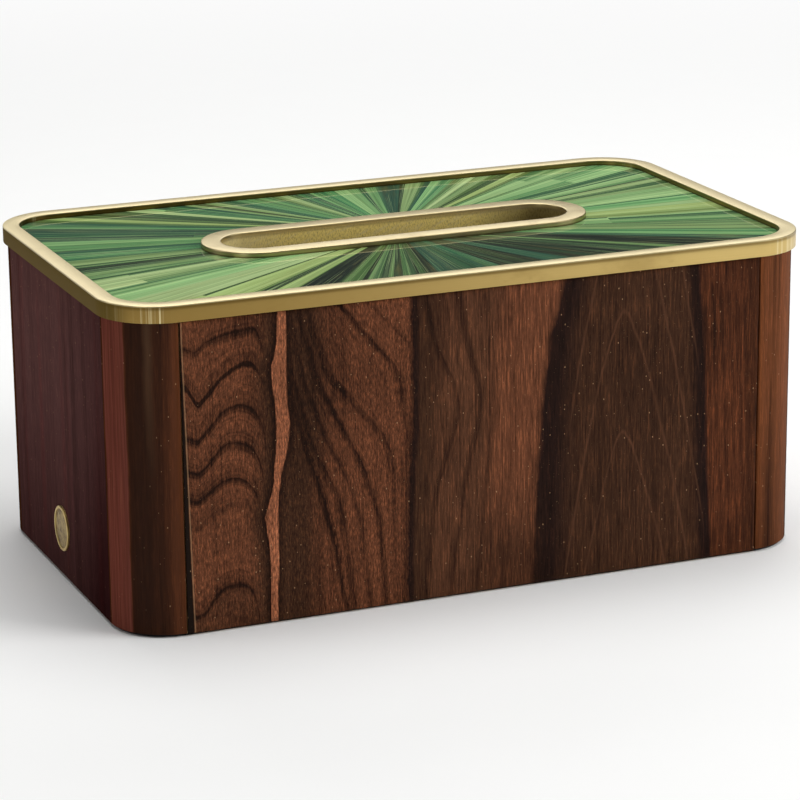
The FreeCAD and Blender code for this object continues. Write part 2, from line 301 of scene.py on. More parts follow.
class Finish:
    """One node material. node() adds every kind of node."""

    def __init__(self, name):
        self.material = bpy.data.materials.new(name)
        self.material.use_nodes = True
        self.tree = self.material.node_tree
        self.tree.nodes.clear()

    def node(self, kind, options=None, sockets=None, out=0):
        """Adds a node, sets its options first, feeds its sockets and returns one of its outputs."""
        made = self.tree.nodes.new(kind)
        for key, value in (options or {}).items():
            if key == "stops":
                self.set_stops(made.color_ramp, value)
            else:
                setattr(made, key, value)
        for key, value in (sockets or {}).items():
            self.feed(made.inputs[key], value)
        return Wire(self, made.outputs[out])

    def feed(self, socket, value):
        """Links a wire to a socket, or writes a number or a colour into it."""
        if isinstance(value, Wire):
            self.tree.links.new(value.socket, socket)
        elif socket.type == "RGBA" and len(value) == 3:
            socket.default_value = (*value, 1.0)
        else:
            socket.default_value = value

    @staticmethod
    def set_stops(ramp, stops):
        """Gives a colour ramp its (place, colour) stops."""
        while len(ramp.elements) < len(stops):
            ramp.elements.new(1.0)
        for element, (place, shade) in zip(ramp.elements, stops):
            element.position = place
            element.color = (*shade, 1.0)

    def math(self, operation, *values):
        return self.node("ShaderNodeMath", {"operation": operation}, dict(enumerate(values)))

    def distance(self, across, up):
        """Distance from the point where both numbers are 0."""
        return (across * across + up * up).math("SQRT")

    def vector(self, x, y, z):
        return self.node("ShaderNodeCombineXYZ", None, {"X": x, "Y": y, "Z": z})

    def split(self, vector):
        """The three parts of a vector."""
        separate = self.node("ShaderNodeSeparateXYZ", None, {0: vector}).socket.node
        return [Wire(self, part) for part in separate.outputs]

    def place(self):
        """The three object coordinates."""
        return self.split(self.node("ShaderNodeTexCoord", out="Object"))

    def facing(self, axis):
        """1 on the faces that look along an axis, either way."""
        return abs(self.split(self.node("ShaderNodeNewGeometry", out="Normal"))[axis]).rise(0.6, 0.8)

    def attribute(self, name):
        return self.node("ShaderNodeAttribute", {"attribute_name": name}, None, "Fac")

    def noise(self, x, y, z=0.0, detail=2.0, roughness=0.5, distortion=0.0):
        """Fractal noise, about 0 to 1, at coordinates that are already scaled."""
        return self.node("ShaderNodeTexNoise", None,
                         {"Vector": self.vector(x, y, z), "Scale": 1.0, "Detail": detail,
                          "Roughness": roughness, "Distortion": distortion})

    def chance(self, number):
        """Even random number from 0 to 1 for each whole number."""
        return self.node("ShaderNodeTexWhiteNoise", {"noise_dimensions": "1D"}, {"W": number})

    def specks(self, x, y, seed, share):
        """1 inside small flecks: one in each cell of the scaled plane, in a share of the cells."""
        cells = {"Vector": self.vector(x, y, seed), "Scale": 1.0}
        away = self.node("ShaderNodeTexVoronoi", None, cells, "Distance")
        luck = self.split(self.node("ShaderNodeTexVoronoi", None, cells, "Color"))[0]
        size = luck * 0.16 / share
        return away.fall(size * 0.6, size) * luck.fall(share - 0.02, share + 0.02)

    def mix(self, share, first, second, blend="MIX"):
        return self.node("ShaderNodeMix", {"data_type": "RGBA", "blend_type": blend},
                         {0: share, 6: first, 7: second}, 2)

    def times(self, shade, factors):
        """A colour whose three parts are multiplied by three factors."""
        return self.mix(1.0, shade, factors, "MULTIPLY")

    def tinge(self, share, shade, factors):
        """Multiplies a share of a colour by three factors."""
        return self.mix(share, shade, self.times(shade, factors))

    def bump(self, height, depth, strength):
        sockets = {"Height": height, "Distance": depth, "Strength": strength}
        return self.node("ShaderNodeBump", None, sockets)

    def surface(self, **sockets):
        """Principled surface whose sockets are named with underscores, as the whole material."""
        named = {key.replace("_", " "): value for key, value in sockets.items()}
        return self.output(self.node("ShaderNodeBsdfPrincipled", None, named))

    def output(self, shader):
        """Ends the material with a shader."""
        made = self.tree.nodes.new("ShaderNodeOutputMaterial")
        self.tree.links.new(shader.socket, made.inputs["Surface"])
        return self.material


# ------------------------------------------------------------ modelling tools

# Distances in metres within which two places are the same, and near each other
SAME, NEAR = 1e-6, 1e-5
SHARP = math.radians(40)
# Part of a normal above which its face looks that way
FACING = 0.9


def deselect():
    """Leaves edit mode and selects nothing."""
    if bpy.context.object and bpy.context.object.mode != "OBJECT":
        bpy.ops.object.mode_set(mode="OBJECT")
    bpy.ops.object.select_all(action="DESELECT")


def new_plate(name, low, high, z):
    """Level rectangle between two plan corners, left in edit mode."""
    deselect()
    centre = ((low[0] + high[0]) / 2, (low[1] + high[1]) / 2, z)
    bpy.ops.mesh.primitive_plane_add(size=1.0, location=centre)
    plate = bpy.context.object
    plate.name = name
    plate.scale = (high[0] - low[0], high[1] - low[1], 1.0)
    settle(plate)
    bpy.ops.object.mode_set(mode="EDIT")
    return plate


def make_active(piece):
    """Selects one piece alone and makes it the active one."""
    deselect()
    piece.select_set(True)
    bpy.context.view_layer.objects.active = piece


def settle(piece):
    """Puts a piece's place, turn and scale into its mesh."""
    make_active(piece)
    bpy.ops.object.transform_apply(location=True, rotation=True, scale=True)


def pick(kind, test):
    """Selects the vertices, edges or faces of the edited mesh that pass a test."""
    bpy.ops.mesh.select_mode(type=kind)
    bpy.ops.mesh.select_all(action="DESELECT")
    mesh = bmesh.from_edit_mesh(bpy.context.object.data)
    items = {"VERT": mesh.verts, "EDGE": mesh.edges, "FACE": mesh.faces}[kind]
    chosen = [item for item in items if test(item)]
    if not chosen:
        raise RuntimeError(f"{bpy.context.object.name}: nothing to select")
    for item in chosen:
        item.select_set(True)
    mesh.select_flush_mode()
    bmesh.update_edit_mesh(bpy.context.object.data)


def sharp_at(z):
    """Test for sharp edges in one level plane."""
    return lambda edge: (all(abs(vert.co.z - z) < SAME for vert in edge.verts)
                         and len(edge.link_faces) == 2 and edge.calc_face_angle() > SHARP)


def round_corners(radius, segments, test=lambda vert: True):
    """Rounds a plate's corners. Corners that fill a side stop just short and are joined in one point."""
    just_short, joint = 0.9995, 0.03 * MM
    pick("VERT", test)
    bpy.ops.mesh.bevel(offset=just_short * radius, segments=segments, affect="VERTICES", profile=0.5)
    bpy.ops.mesh.select_all(action="SELECT")
    bpy.ops.mesh.remove_doubles(threshold=joint)


def extrude(offset):
    """Draws what is selected out by an offset."""
    bpy.ops.mesh.extrude_region_move(TRANSFORM_OT_translate={"value": offset})


def draw_up(height):
    """Draws the edited plate up into a solid whose faces point outwards."""
    bpy.ops.mesh.select_all(action="SELECT")
    extrude((0, 0, height))
    bpy.ops.mesh.select_all(action="SELECT")
    bpy.ops.mesh.normals_make_consistent(inside=False)


def open_plate(*widths):
    """Insets the edited plate by each width in turn and takes away its middle."""
    pick("FACE", lambda face: True)
    for width in widths:
        bpy.ops.mesh.inset(thickness=width, depth=0)
    bpy.ops.mesh.delete(type="FACE")


def ease(width, test, segments):
    """Rounds the edges that pass a test."""
    pick("EDGE", test)
    bpy.ops.mesh.bevel(offset=width, segments=segments, affect="EDGES", profile=0.5)


def close_up(piece, angle=32.0):
    """Ends the edit of a closed piece: doubles merged, faces outwards, smooth below an angle."""
    bpy.ops.mesh.select_all(action="SELECT")
    bpy.ops.mesh.remove_doubles(threshold=SAME)
    bpy.ops.mesh.normals_make_consistent(inside=False)
    bpy.ops.object.mode_set(mode="OBJECT")
    make_active(piece)
    bpy.ops.object.shade_smooth_by_angle(angle=math.radians(angle))


def apply_modifier(piece, kind, **options):
    """Adds a modifier and applies it."""
    make_active(piece)
    modifier = piece.modifiers.new(kind.title(), kind)
    for key, value in options.items():
        setattr(modifier, key, value)
    bpy.ops.object.modifier_apply(modifier=modifier.name)


def cut_away(piece, low, high, corner=0.0, corner_test=None):
    """Takes a box out of a piece. Its upright edges that pass the corner test are rounded."""
    cutter = new_plate("cutter", low, high, low[2])
    if corner:
        round_corners(corner, segments=8, test=corner_test)
    draw_up(high[2] - low[2])
    close_up(cutter)
    apply_modifier(piece, "BOOLEAN", operation="DIFFERENCE", object=cutter, solver="FAST")
    bpy.data.objects.remove(cutter)


def dress(piece, body, material, node):
    """Gives a finished piece its material and its body, and hides the CAD node it stands for."""
    piece.data.materials.clear()
    piece.data.materials.append(material)
    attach(piece, body)
    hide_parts(node)


def coat(material, *nodes):
    """Gives carried-over CAD nodes a material."""
    for name in nodes:
        for slot in NODES[name].material_slots:
            slot.material = material


# ----------------------------------------------------------------- the brass

# Colour of the painted shade on the rim's left end
SHADED_BRASS = (0.120, 0.080, 0.018)


def brush_marks(f, across, x, y, z, stretch):
    """Fine marks that run along an outline on level faces and lie level on upright ones."""
    return f.noise(across * 3200.0, x * 26.0 + z * 2600.0, y * stretch, detail=3.0, roughness=0.7)


def near_seat(z):
    """1 at the foot of the brass, where it meets the straw, and 0 a little higher."""
    return z.fall(SEAT + 0.2 * MM, SEAT + 0.8 * MM)


def satin_brass(metal, radius, face):
    """Satin brass brushed along the rim, with painted light and shade: lighter on its level top, darker on
    its upright faces and more so towards the left, darkest on its left end, under its top edge and at its
    inner wall's foot; the polish marks on its corners are partly painted glints.
    """
    f = Finish("satin_brass_rim")
    x, y, z = f.place()
    top = RIM_HIGH.z
    out_x = (abs(x) - (RIM_HIGH.x - radius)).at_least(0.0)
    out_y = (abs(y) - (RIM_HIGH.y - radius)).at_least(0.0)
    across = f.distance(out_x, out_y)
    brushing = brush_marks(f, across, x, y, z, 26.0)
    cloud = f.noise(x * 34.0, y * 34.0, z * 60.0, detail=4.0, roughness=0.6)
    spot = f.noise(x * 210.0, y * 210.0, z * 260.0, detail=2.0)
    handled = cloud.rise(0.50, 0.72) * 0.45 + spot.rise(0.66, 0.80) * 0.25
    upright = z.fall(top - 0.6 * MM, top - 0.2 * MM)
    shade_to_left = (x + y * 0.15).fall(-150 * MM, 125 * MM)
    # Painted light and shade: the level top takes the lighter brass, the upright faces the darker side
    # brass, shaded further towards the left as a painted dark reflection
    shade = f.mix(upright, metal.brass, f.mix(shade_to_left, metal.side, metal.worn_and_shaded))
    shade = f.mix(handled * (0.35 + upright * 0.4), shade, metal.worn_and_shaded)
    shade = f.mix(brushing * 0.25, shade, metal.worn_and_shaded)
    # Polish marks on the corners, partly painted glints
    corner = (out_x * out_y).rise(30 * MM * MM, 110 * MM * MM) * upright
    polish_and_glint = f.noise((x - y) * 330.0, (x + y) * 330.0, 3.0, detail=2.0, roughness=0.7)
    shade = f.mix(corner * polish_and_glint.rise(0.50, 0.66) * 0.75, shade, metal.brass)
    # Painted shade just under the top edge, and a painted shadow at the inner wall's foot where the brass
    # meets the straw
    edge_shade = z.rise(top - 1.9 * MM, top - 0.9 * MM) * upright
    inner = across.fall(radius - face, radius - face + 0.6 * MM)
    shade = f.mix(edge_shade * 0.55 + inner * near_seat(z) * 0.8, shade, f.times(metal.worn_and_shaded, (0.35, 0.3, 0.2)))
    # Painted shade on the left end: a dark reflection painted into the colour, with less metal
    left_end_shade = x.fall(1.0 * MM - RIM_HIGH.x, 8.0 * MM - RIM_HIGH.x) * upright * 0.92
    rough = 0.26 + brushing * 0.12 + handled * 0.08
    normal = f.bump(brushing + spot * 0.3, 0.03 * MM, 0.4)
    return f.surface(Base_Color=f.mix(left_end_shade, shade, SHADED_BRASS), Roughness=rough, Metallic=1.0 - left_end_shade,
                     Specular_IOR_Level=0.0, Normal=normal)


class TISSUEBOX_OT_rim(bpy.types.Operator):
    """Model the brass rim as a mitre-free frame with eased edges"""
    bl_idname = "tissue_box.rim"
    bl_label = "Brass Rim"

    def execute(self, context):
        sizes, metal = context.scene.tissue_box_sizes, context.scene.tissue_box_metal
        rim = new_plate("rim", RIM_LOW, RIM_HIGH, RIM_LOW.z)
        round_corners(sizes.rim_radius, segments=28)
        open_plate(sizes.rim_face)
        draw_up(RIM_HIGH.z - RIM_LOW.z)
        ease(sizes.rim_edge, sharp_at(RIM_HIGH.z), segments=4)
        ease(sizes.rim_edge * 0.4, sharp_at(RIM_LOW.z), segments=2)
        close_up(rim)
        brass = satin_brass(metal, sizes.rim_radius, sizes.rim_face)
        dress(rim, "case", brass, "brass_rim")
        return {"FINISHED"}


def textured_brass(metal, face):
    """Satin on the collar's flat face and finely dimpled inside its sleeve, with painted light at the
    sleeve's left end, painted shade at its right end and a painted shadow at the collar's foot.
    """
    f = Finish("textured_brass")
    x, y, z = f.place()
    across = f.distance((abs(x) - RING_STRAIGHT).at_least(0.0), y)
    brushing = brush_marks(f, across, x, y, z, 20.0)
    dimple = f.node("ShaderNodeTexVoronoi", {"feature": "SMOOTH_F1"},
                    {"Vector": f.vector(x * 1100.0, y * 1100.0, z * 1100.0), "Scale": 1.0})
    cloud = f.noise(x * 60.0, y * 60.0, z * 90.0, detail=4.0, roughness=0.65)
    grain = f.noise(x * 2200.0, y * 2200.0, z * 900.0, detail=2.0, roughness=0.7)
    bore = RING_HIGH.y - face
    inside = z.fall(SEAT - 0.6 * MM, RING_HIGH.z - 0.3 * MM) * across.fall(bore + 0.2 * MM, bore + 0.8 * MM)
    flat = f.mix(0.10 + brushing * 0.3 + cloud.rise(0.5, 0.75) * 0.3, metal.brass, metal.worn_and_shaded)
    wall = f.mix(grain.rise(0.15, 0.60), metal.worn_and_shaded, metal.sleeve)
    streaks = f.noise(x * 420.0 - z * 900.0, y * 60.0, x * 60.0 + z * 160.0, detail=3.0, roughness=0.6)
    wall = f.mix(streaks.rise(0.48, 0.68) * 0.45, wall, metal.brass)
    # Painted light at the sleeve's left end and painted shade at its right end
    wall = f.mix(x.fall(-60 * MM, -35 * MM) * 0.55, wall, metal.brass)
    wall = f.mix(x.rise(30 * MM, 58 * MM) * 0.65, wall, dimmed(metal.worn_and_shaded, 0.35))
    shade = f.mix(inside, flat, wall)
    # Painted shadow at the foot of the collar's outer side, where it meets the straw
    shade = f.tinge(near_seat(z) * (1.0 - inside) * 0.8, shade, (0.20, 0.16, 0.12))
    rough = 0.26 + brushing * 0.12 + inside * (0.14 + cloud * 0.16)
    normal = f.bump(brushing * 0.15 + inside * (dimple * 0.5 + grain * 0.5), 0.1 * MM, 0.6)
    return f.surface(Base_Color=shade, Metallic=1.0 - inside * 0.58, Roughness=rough, Normal=normal)


class TISSUEBOX_OT_collar(bpy.types.Operator):
    """Model the flat ring round the slot and the sleeve that lines it"""
    bl_idname = "tissue_box.collar"
    bl_label = "Slot Collar"

    def execute(self, context):
        sizes, metal = context.scene.tissue_box_sizes, context.scene.tissue_box_metal
        collar = new_plate("slot_collar", RING_LOW, RING_HIGH, SEAT)
        round_corners((RING_HIGH.y - RING_LOW.y) / 2, segments=32)
        open_plate(sizes.ring_face - sizes.sleeve_wall, sizes.sleeve_wall)
        draw_up(RING_HIGH.z - SEAT)
        pick("FACE", lambda face: face.normal.z < -FACING and self.is_over_sleeve(face, sizes))
        extrude((0, 0, RING_LOW.z - SEAT))
        ease(sizes.ring_edge, sharp_at(RING_HIGH.z), segments=4)
        ease(sizes.ring_edge * 0.5, sharp_at(RING_LOW.z), segments=2)
        close_up(collar)
        dress(collar, "case", textured_brass(metal, sizes.ring_face), "slot_ring")
        return {"FINISHED"}

    @staticmethod
    def is_over_sleeve(face, sizes):
        """Whether a face of the ring's underside lies over the sleeve's wall."""
        centre = face.calc_center_median()
        out = math.hypot(max(abs(centre.x) - RING_STRAIGHT, 0.0), centre.y)
        return out < RING_HIGH.y - sizes.ring_face + sizes.sleeve_wall


def coin_brass(metal):
    """Turned brass: fine rings round the coin's middle, darker in its hollow."""
    f = Finish("coin_brass")
    x, y, z = f.place()
    up = z - COIN_MIDDLE
    away = f.distance(y, up)
    turned = f.noise(away * 9000.0, y * 60.0, up * 60.0, detail=2.0, roughness=0.6)
    hollow = away.fall(COIN_RADIUS - 1.3 * MM, COIN_RADIUS - 0.9 * MM)
    cloud = f.noise(y * 330.0, up * 330.0, x * 200.0, detail=4.0, roughness=0.7)
    deep = hollow * (0.50 + cloud.rise(0.42, 0.62) * 0.45)
    shade = f.mix(deep, metal.side, f.times(metal.worn_and_shaded, (0.55, 0.48, 0.40)))
    rough = 0.30 + turned * 0.14 + cloud * 0.08
    normal = f.bump(turned, 0.03 * MM, 0.6)
    return f.surface(Base_Color=shade, Metallic=1.0, Roughness=rough, Normal=normal)


class TISSUEBOX_OT_medallion(bpy.types.Operator):
    """Model the plain brass coin let into the left end"""
    bl_idname = "tissue_box.medallion"
    bl_label = "Medallion"

    def execute(self, context):
        sizes, metal = context.scene.tissue_box_sizes, context.scene.tissue_box_metal
        wall = -POST_HIGH.x
        thick = wall - COIN_LOW.x
        deselect()
        bpy.ops.mesh.primitive_cylinder_add(vertices=96, radius=COIN_RADIUS, depth=thick,
                                            location=(wall - thick / 2, 0, COIN_MIDDLE),
                                            rotation=(0, -math.pi / 2, 0))
        coin = bpy.context.object
        coin.name = "coin"
        settle(coin)
        bpy.ops.object.mode_set(mode="EDIT")
        self.shape_face(sizes, thick)
        self.add_peg(wall)
        close_up(coin, angle=25.0)
        dress(coin, "case", coin_brass(metal), "medallion")
        return {"FINISHED"}

    @staticmethod
    def shape_face(sizes, thick):
        """Raised rim, a step down, a fine bead and a bare, slightly domed middle."""
        slope, bead, bead_side, dome = 0.3 * thick, 0.08 * MM, 0.15 * MM, 0.06 * MM
        pick("FACE", lambda face: face.normal.x < -FACING)
        steps = ((slope, slope), (sizes.coin_rim - 0.5 * thick, 0), (0.2 * MM, -sizes.coin_hollow),
                 (0.35 * MM, 0), (bead_side, bead), (0.25 * MM, 0), (bead_side, -bead), (2.0 * MM, dome))
        for width, rise in steps:
            bpy.ops.mesh.inset(thickness=width, depth=rise)

    @staticmethod
    def add_peg(wall):
        """Peg on the back that holds the coin in the panel."""
        peg_radius = 2.0 * MM
        pick("FACE", lambda face: face.normal.x > FACING and face.calc_center_median().x > wall - NEAR)
        bpy.ops.mesh.inset(thickness=COIN_RADIUS - peg_radius, depth=0)
        extrude((COIN_HIGH.x - wall, 0, 0))


# ----------------------------------------------------------------- rosewood

def straight_rosewood(f, across, along, base, line, seed, strength=1.0):
    """Straight-grained wood: its colour and its bump height."""
    grain = across + (f.noise(across * 40.0, seed, along * 9.0, detail=2.0) - 0.5) * (4 * MM)
    broad = f.noise(grain * 130.0, seed, along * 2.2, detail=3.0, roughness=0.6)
    fine = f.noise(grain * 1500.0, seed + 3.0, along * 22.0, detail=3.0, roughness=0.65)
    pores = f.specks(across * 720.0, along * 380.0, seed, 0.4)
    dark = (broad.rise(0.42, 0.70) * 0.75 + fine.rise(0.42, 0.78) * 0.45) * strength
    shade = f.mix(dark.at_most(1.0), base, line)
    lift = f.noise(across * 18.0, seed + 11.0, along * 5.0, detail=2.0).rise(0.35, 0.7)
    shade = f.tinge(lift * 0.4, shade, (1.4, 1.4, 1.4))
    strands = f.noise(grain * 1700.0, seed + 17.0, along * 110.0, detail=3.0, roughness=0.75)
    shade = f.tinge(strands.rise(0.46, 0.64) * 0.6, shade, (1.7, 1.6, 1.5))
    shade = f.mix(pores * 0.55, shade, woods().fleck_and_highlight)
    return shade, fine * 0.5 - pores


def lacquered(f, shade, height, rough, sheen, gloss=0.0):
    """Wood under lacquer."""
    normal = f.bump(height, 0.03 * MM, 0.35)
    return f.surface(Base_Color=shade, Roughness=rough, Specular_IOR_Level=sheen, Normal=normal,
                     Coat_Weight=gloss, Coat_Roughness=0.2)


def post_rosewood(node, look, side_x, side_y):
    """Dark post, whose grain is laid out round its curve. The front left one has a reddish strip, with
    painted light and shade round its curve.
    """
    f = Finish(f"rosewood_{node}")
    x, y, z = f.place()
    radius = settings().post_radius
    out_x = x * side_x - (POST_HIGH.x - radius)
    out_y = y * side_y - (POST_HIGH.y - radius)
    turn = f.math("ARCTAN2", out_y, out_x)
    seed = 4.0 + side_x * 1.3 + side_y * 2.1
    base = look.post_warm if side_x > 0 else look.post
    shade, height = straight_rosewood(f, turn * radius, z, base, look.dark, seed)
    if side_x > 0:
        shade = f.mix(z.fall(0.0, 70 * MM) * 0.30, shade, look.dark)
    elif side_y < 0:
        shade = reddish_strip(f, shade, look, turn, z, seed)
    gloss = turn.rise(0.35, 0.9) * turn.fall(1.45, 1.55) * 0.10
    return lacquered(f, shade, height, rough=0.35, sheen=0.0, gloss=gloss)


def reddish_strip(f, shade, look, turn, z, seed):
    """Reddish strip down a post, with painted shade beside it where the post turns from the light, a
    painted highlight higher up and painted light near the front.
    """
    bend = turn + (f.noise(z * 38.0, seed, detail=2.0) - 0.5) * 0.12
    # Painted shade where the post turns away from the light
    shade = f.mix(bend.rise(0.62, 0.70) * bend.fall(0.95, 1.40) * 0.70, shade, look.dark)
    # Painted highlight on the upper part of the curve
    sheen = bend.band(1.00, 1.12, 0.06) * z.rise(45 * MM, 105 * MM)
    shade = f.mix(sheen * 0.08, shade, look.fleck_and_highlight)
    # Painted light where the post faces the front
    shade = f.mix(bend.rise(1.36, 1.54) * 0.18, shade, look.light)
    streak = f.noise(turn * 34.0, seed + 21.0, z * 24.0, detail=3.0, roughness=0.7)
    red = f.mix(streak.rise(0.30, 0.70) * 0.45, look.post_strip, look.dark)
    red = f.mix(streak.fall(0.30, 0.45) * 0.4, red, look.sliver)
    return f.mix(bend.band(0.06, 0.63, 0.025) * 0.88, shade, f.mix(0.25, red, shade))


class TISSUEBOX_OT_posts(bpy.types.Operator):
    """Model the four quarter-round corner posts"""
    bl_idname = "tissue_box.posts"
    bl_label = "Corner Posts"

    def execute(self, context):
        for side_x, side_name in ((1, "right"), (-1, "left")):
            for side_y, end_name in ((1, "back"), (-1, "front")):
                node = f"post_{end_name}_{side_name}"
                post = self.model(f"corner_{end_name}_{side_name}", side_x, side_y)
                finish = post_rosewood(node, woods(), side_x, side_y)
                dress(post, "case", finish, node)
        return {"FINISHED"}

    def model(self, name, side_x, side_y):
        """A square plate with its outer corner rounded off, its inner corner cut, drawn up to height."""
        sizes = settings()
        centre_x = POST_HIGH.x - sizes.post_radius
        centre_y = POST_HIGH.y - sizes.post_radius
        ends_x = sorted((side_x * centre_x, side_x * POST_HIGH.x))
        ends_y = sorted((side_y * centre_y, side_y * POST_HIGH.y))
        post = new_plate(name, (ends_x[0], ends_y[0]), (ends_x[1], ends_y[1]), POST_LOW.z)
        round_corners(sizes.post_radius, segments=40, test=self.is_outer_corner)
        panel_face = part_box("end_panel_right")[0].x
        pick("FACE", lambda face: True)
        bpy.ops.mesh.bisect(plane_co=(side_x * panel_face, side_y * centre_y, POST_LOW.z),
                            plane_no=(side_x, side_y, 0), clear_inner=True)
        draw_up(POST_HIGH.z - POST_LOW.z)
        ease(sizes.post_edge, lambda edge: self.is_seam(edge, centre_x, centre_y), segments=2)
        close_up(post)
        self.groove(post, side_x, side_y)
        return post

    @staticmethod
    def is_outer_corner(vert):
        """Whether a plate's corner is the one at the box's own corner."""
        return abs(abs(vert.co.x) - POST_HIGH.x) < NEAR and abs(abs(vert.co.y) - POST_HIGH.y) < NEAR

    @staticmethod
    def is_seam(edge, centre_x, centre_y):
        """Upright edges where the round meets a panel's face."""
        one, two = edge.verts
        upright = abs(one.co.z - two.co.z) > 50 * MM
        near = 0.05 * MM
        at_end = abs(abs(one.co.x) - POST_HIGH.x) < near and abs(abs(one.co.y) - centre_y) < near
        at_side = abs(abs(one.co.y) - POST_HIGH.y) < near and abs(abs(one.co.x) - centre_x) < near
        return upright and (at_end or at_side)

    @staticmethod
    def groove(post, side_x, side_y):
        """Grooves that take the panels' tongues."""
        below, above = -10 * MM, 130 * MM
        low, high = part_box("end_panel_right")
        middle, half = (low.x + high.x) / 2, 1.5 * MM
        ends = sorted((side_x * (middle - half), side_x * (middle + half)))
        reach = sorted((side_y * 50 * MM, side_y * high.y))
        cut_away(post, (ends[0], reach[0], below), (ends[1], reach[1], above))
        if side_y > 0:
            low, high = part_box("back_panel")
            middle = (low.y + high.y) / 2
            reach = sorted((side_x * 100 * MM, side_x * high.x))
            cut_away(post, (reach[0], middle - half, below), (reach[1], middle + half, above))


def wall_rosewood(name, look, axis, seed):
    """Veneer with upright grain, ruddy in streaks and darker low down and at one end."""
    f = Finish(f"rosewood_{name}")
    places = f.place()
    along, up = places[axis], places[Z]
    shade, height = straight_rosewood(f, along, up, look.end, dimmed(look.end, 0.40), seed, 0.75)
    ruddy = f.noise(along * 75.0, seed + 31.0, up * 3.0, detail=2.0).rise(0.52, 0.66)
    shade = f.tinge(ruddy * 0.35, shade, (1.15, 0.62, 0.62))
    deep = up.fall(0.0, 85 * MM) * 0.56 + along.fall(-60 * MM, -8 * MM) * 0.58
    shade = f.tinge(deep, shade, (0.30, 0.20, 0.22))
    return lacquered(f, shade, height, rough=0.35, sheen=0.0)


class TISSUEBOX_OT_wall_veneers(bpy.types.Operator):
    """Finish the straight-grained veneers on the ends and the back"""
    bl_idname = "tissue_box.wall_veneers"
    bl_label = "Wall Veneers"

    def execute(self, context):
        for name, axis, seed in (("veneer_end_left", Y, 2.0), ("veneer_end_right", Y, 9.0),
                                 ("veneer_back", X, 15.0)):
            coat(wall_rosewood(name, woods(), axis, seed), name)
        return {"FINISHED"}


# ------------------------------------------------------- the figured veneer

# Colour of the painted shadow in the gap at the veneer's left end
GAP_SHADOW = (0.010, 0.005, 0.003)
ZONES = 6.0
# The heartwood's arches: their middle and head, their step, and the gap that their wander is scaled by
HEART_X, HEART_Z, HEART_STEP, HEART_GAP = 55.5, 52.0, 45.0, 10.0
# The straight wood's lines: their step, the gap that their width is scaled by, and how dark they are
STRAIGHT_STEP, STRAIGHT_GAP, STRAIGHT_WEIGHT = 3.1, 4.7, 0.28


def edge_line(*points):
    """Line across the veneer, as (height, x) points in millimetres, read at any height."""
    heights, places = zip(*points)
    return lambda z: np.interp(z, heights, places)


LEFT_END = edge_line((0, -109.2), (110, -109.2))
SLIVER_LEFT = edge_line((0, -78.7), (20, -78.5), (30, -79.4), (38, -80.7), (40, -80.0), (45, -78.1),
                        (50, -76.9), (60, -76.3), (70, -75.7), (80, -76.4), (88, -77.4), (92, -77.2),
                        (95, -75.9), (100, -75.0), (110, -74.4))
SLIVER_RIGHT = edge_line((0, -76.5), (20, -75.8), (40, -75.6), (50, -74.7), (55, -73.5), (60, -71.9),
                         (65, -70.9), (70, -70.6), (80, -71.3), (90, -71.4), (100, -71.1), (110, -71.6))
SEAM = edge_line((0, -27.4), (20, -27.2), (47, -26.3), (60, -25.0), (75, -24.6), (110, -25.0))
DARK_BAND = edge_line((0, 20.6), (30, 21.9), (50, 23.1), (70, 24.8), (90, 27.2), (100, 30.6), (110, 32.5))
RIGHT_LINE = edge_line((0, 90.0), (40, 87.6), (75, 86.3), (110, 83.3))
RIGHT_END = edge_line((0, 109.2), (110, 109.2))

# Dark lines of the stacked arches, from the lowest up, as (x, height) points, and how dark each is
ARCHES = (
    edge_line((-110, -6), (-106, -11), (-92, -1), (-86, -3), (-84, -8), (-82, -30), (-77, -60)),
    edge_line((-110, 10), (-106, 5), (-103, 5.5), (-99, 11.7), (-96.5, 14), (-93.9, 15), (-89.9, 14.9),
              (-87.2, 14), (-85.2, 11.7), (-83.9, 7.7), (-82.5, -4), (-77, -40)),
    edge_line((-110, 22), (-104, 20), (-99, 27), (-94, 30), (-90, 30), (-86, 27), (-84, 20), (-82, 2),
              (-77, -25)),
    edge_line((-110, 39), (-104, 37), (-98, 42.4), (-91.5, 44.2), (-86, 43), (-84, 39), (-82.5, 30),
              (-81, 14), (-77, -10)),
    edge_line((-110, 48), (-104.5, 46), (-102, 47.7), (-96, 52), (-92.5, 52.9), (-89, 52.3), (-86.5, 50.7),
              (-84.5, 48), (-82.5, 44.3), (-81, 36), (-77, 8)),
    edge_line((-110, 58), (-104, 55.7), (-101.3, 57.7), (-96, 63.7), (-93.3, 65.3), (-90, 65.3),
              (-86.7, 64.3), (-84, 62.3), (-82.7, 59.7), (-81.3, 55.7), (-79, 40), (-76, 20)),
    edge_line((-110, 70), (-104, 67), (-99.3, 71.7), (-95.3, 76.3), (-92, 77.7), (-88.7, 78.3),
              (-85.3, 77.3), (-83.3, 75.7), (-81.3, 72.3), (-80, 68.3), (-78.5, 58), (-75, 36)),
    edge_line((-110, 88), (-107.3, 86.3), (-103.7, 79.5), (-98.7, 84.3), (-95.7, 88), (-90, 92),
              (-87.3, 93), (-84, 92.3), (-82, 90.3), (-80, 85.7), (-78.5, 75), (-75, 54)),
    edge_line((-110, 101), (-104, 98.5), (-100, 102), (-92.7, 104), (-84, 104.5), (-82, 103.5),
              (-80.3, 99), (-79, 90), (-75, 70)),
    edge_line((-110, 115), (-104, 112), (-96, 117), (-88, 119), (-82, 117), (-79, 108), (-75, 88)),
)
ARCH_WEIGHTS = (0.4, 0.66, 0.08, 0.35, 0.62, 0.58, 0.60, 0.72, 0.50, 0.4)
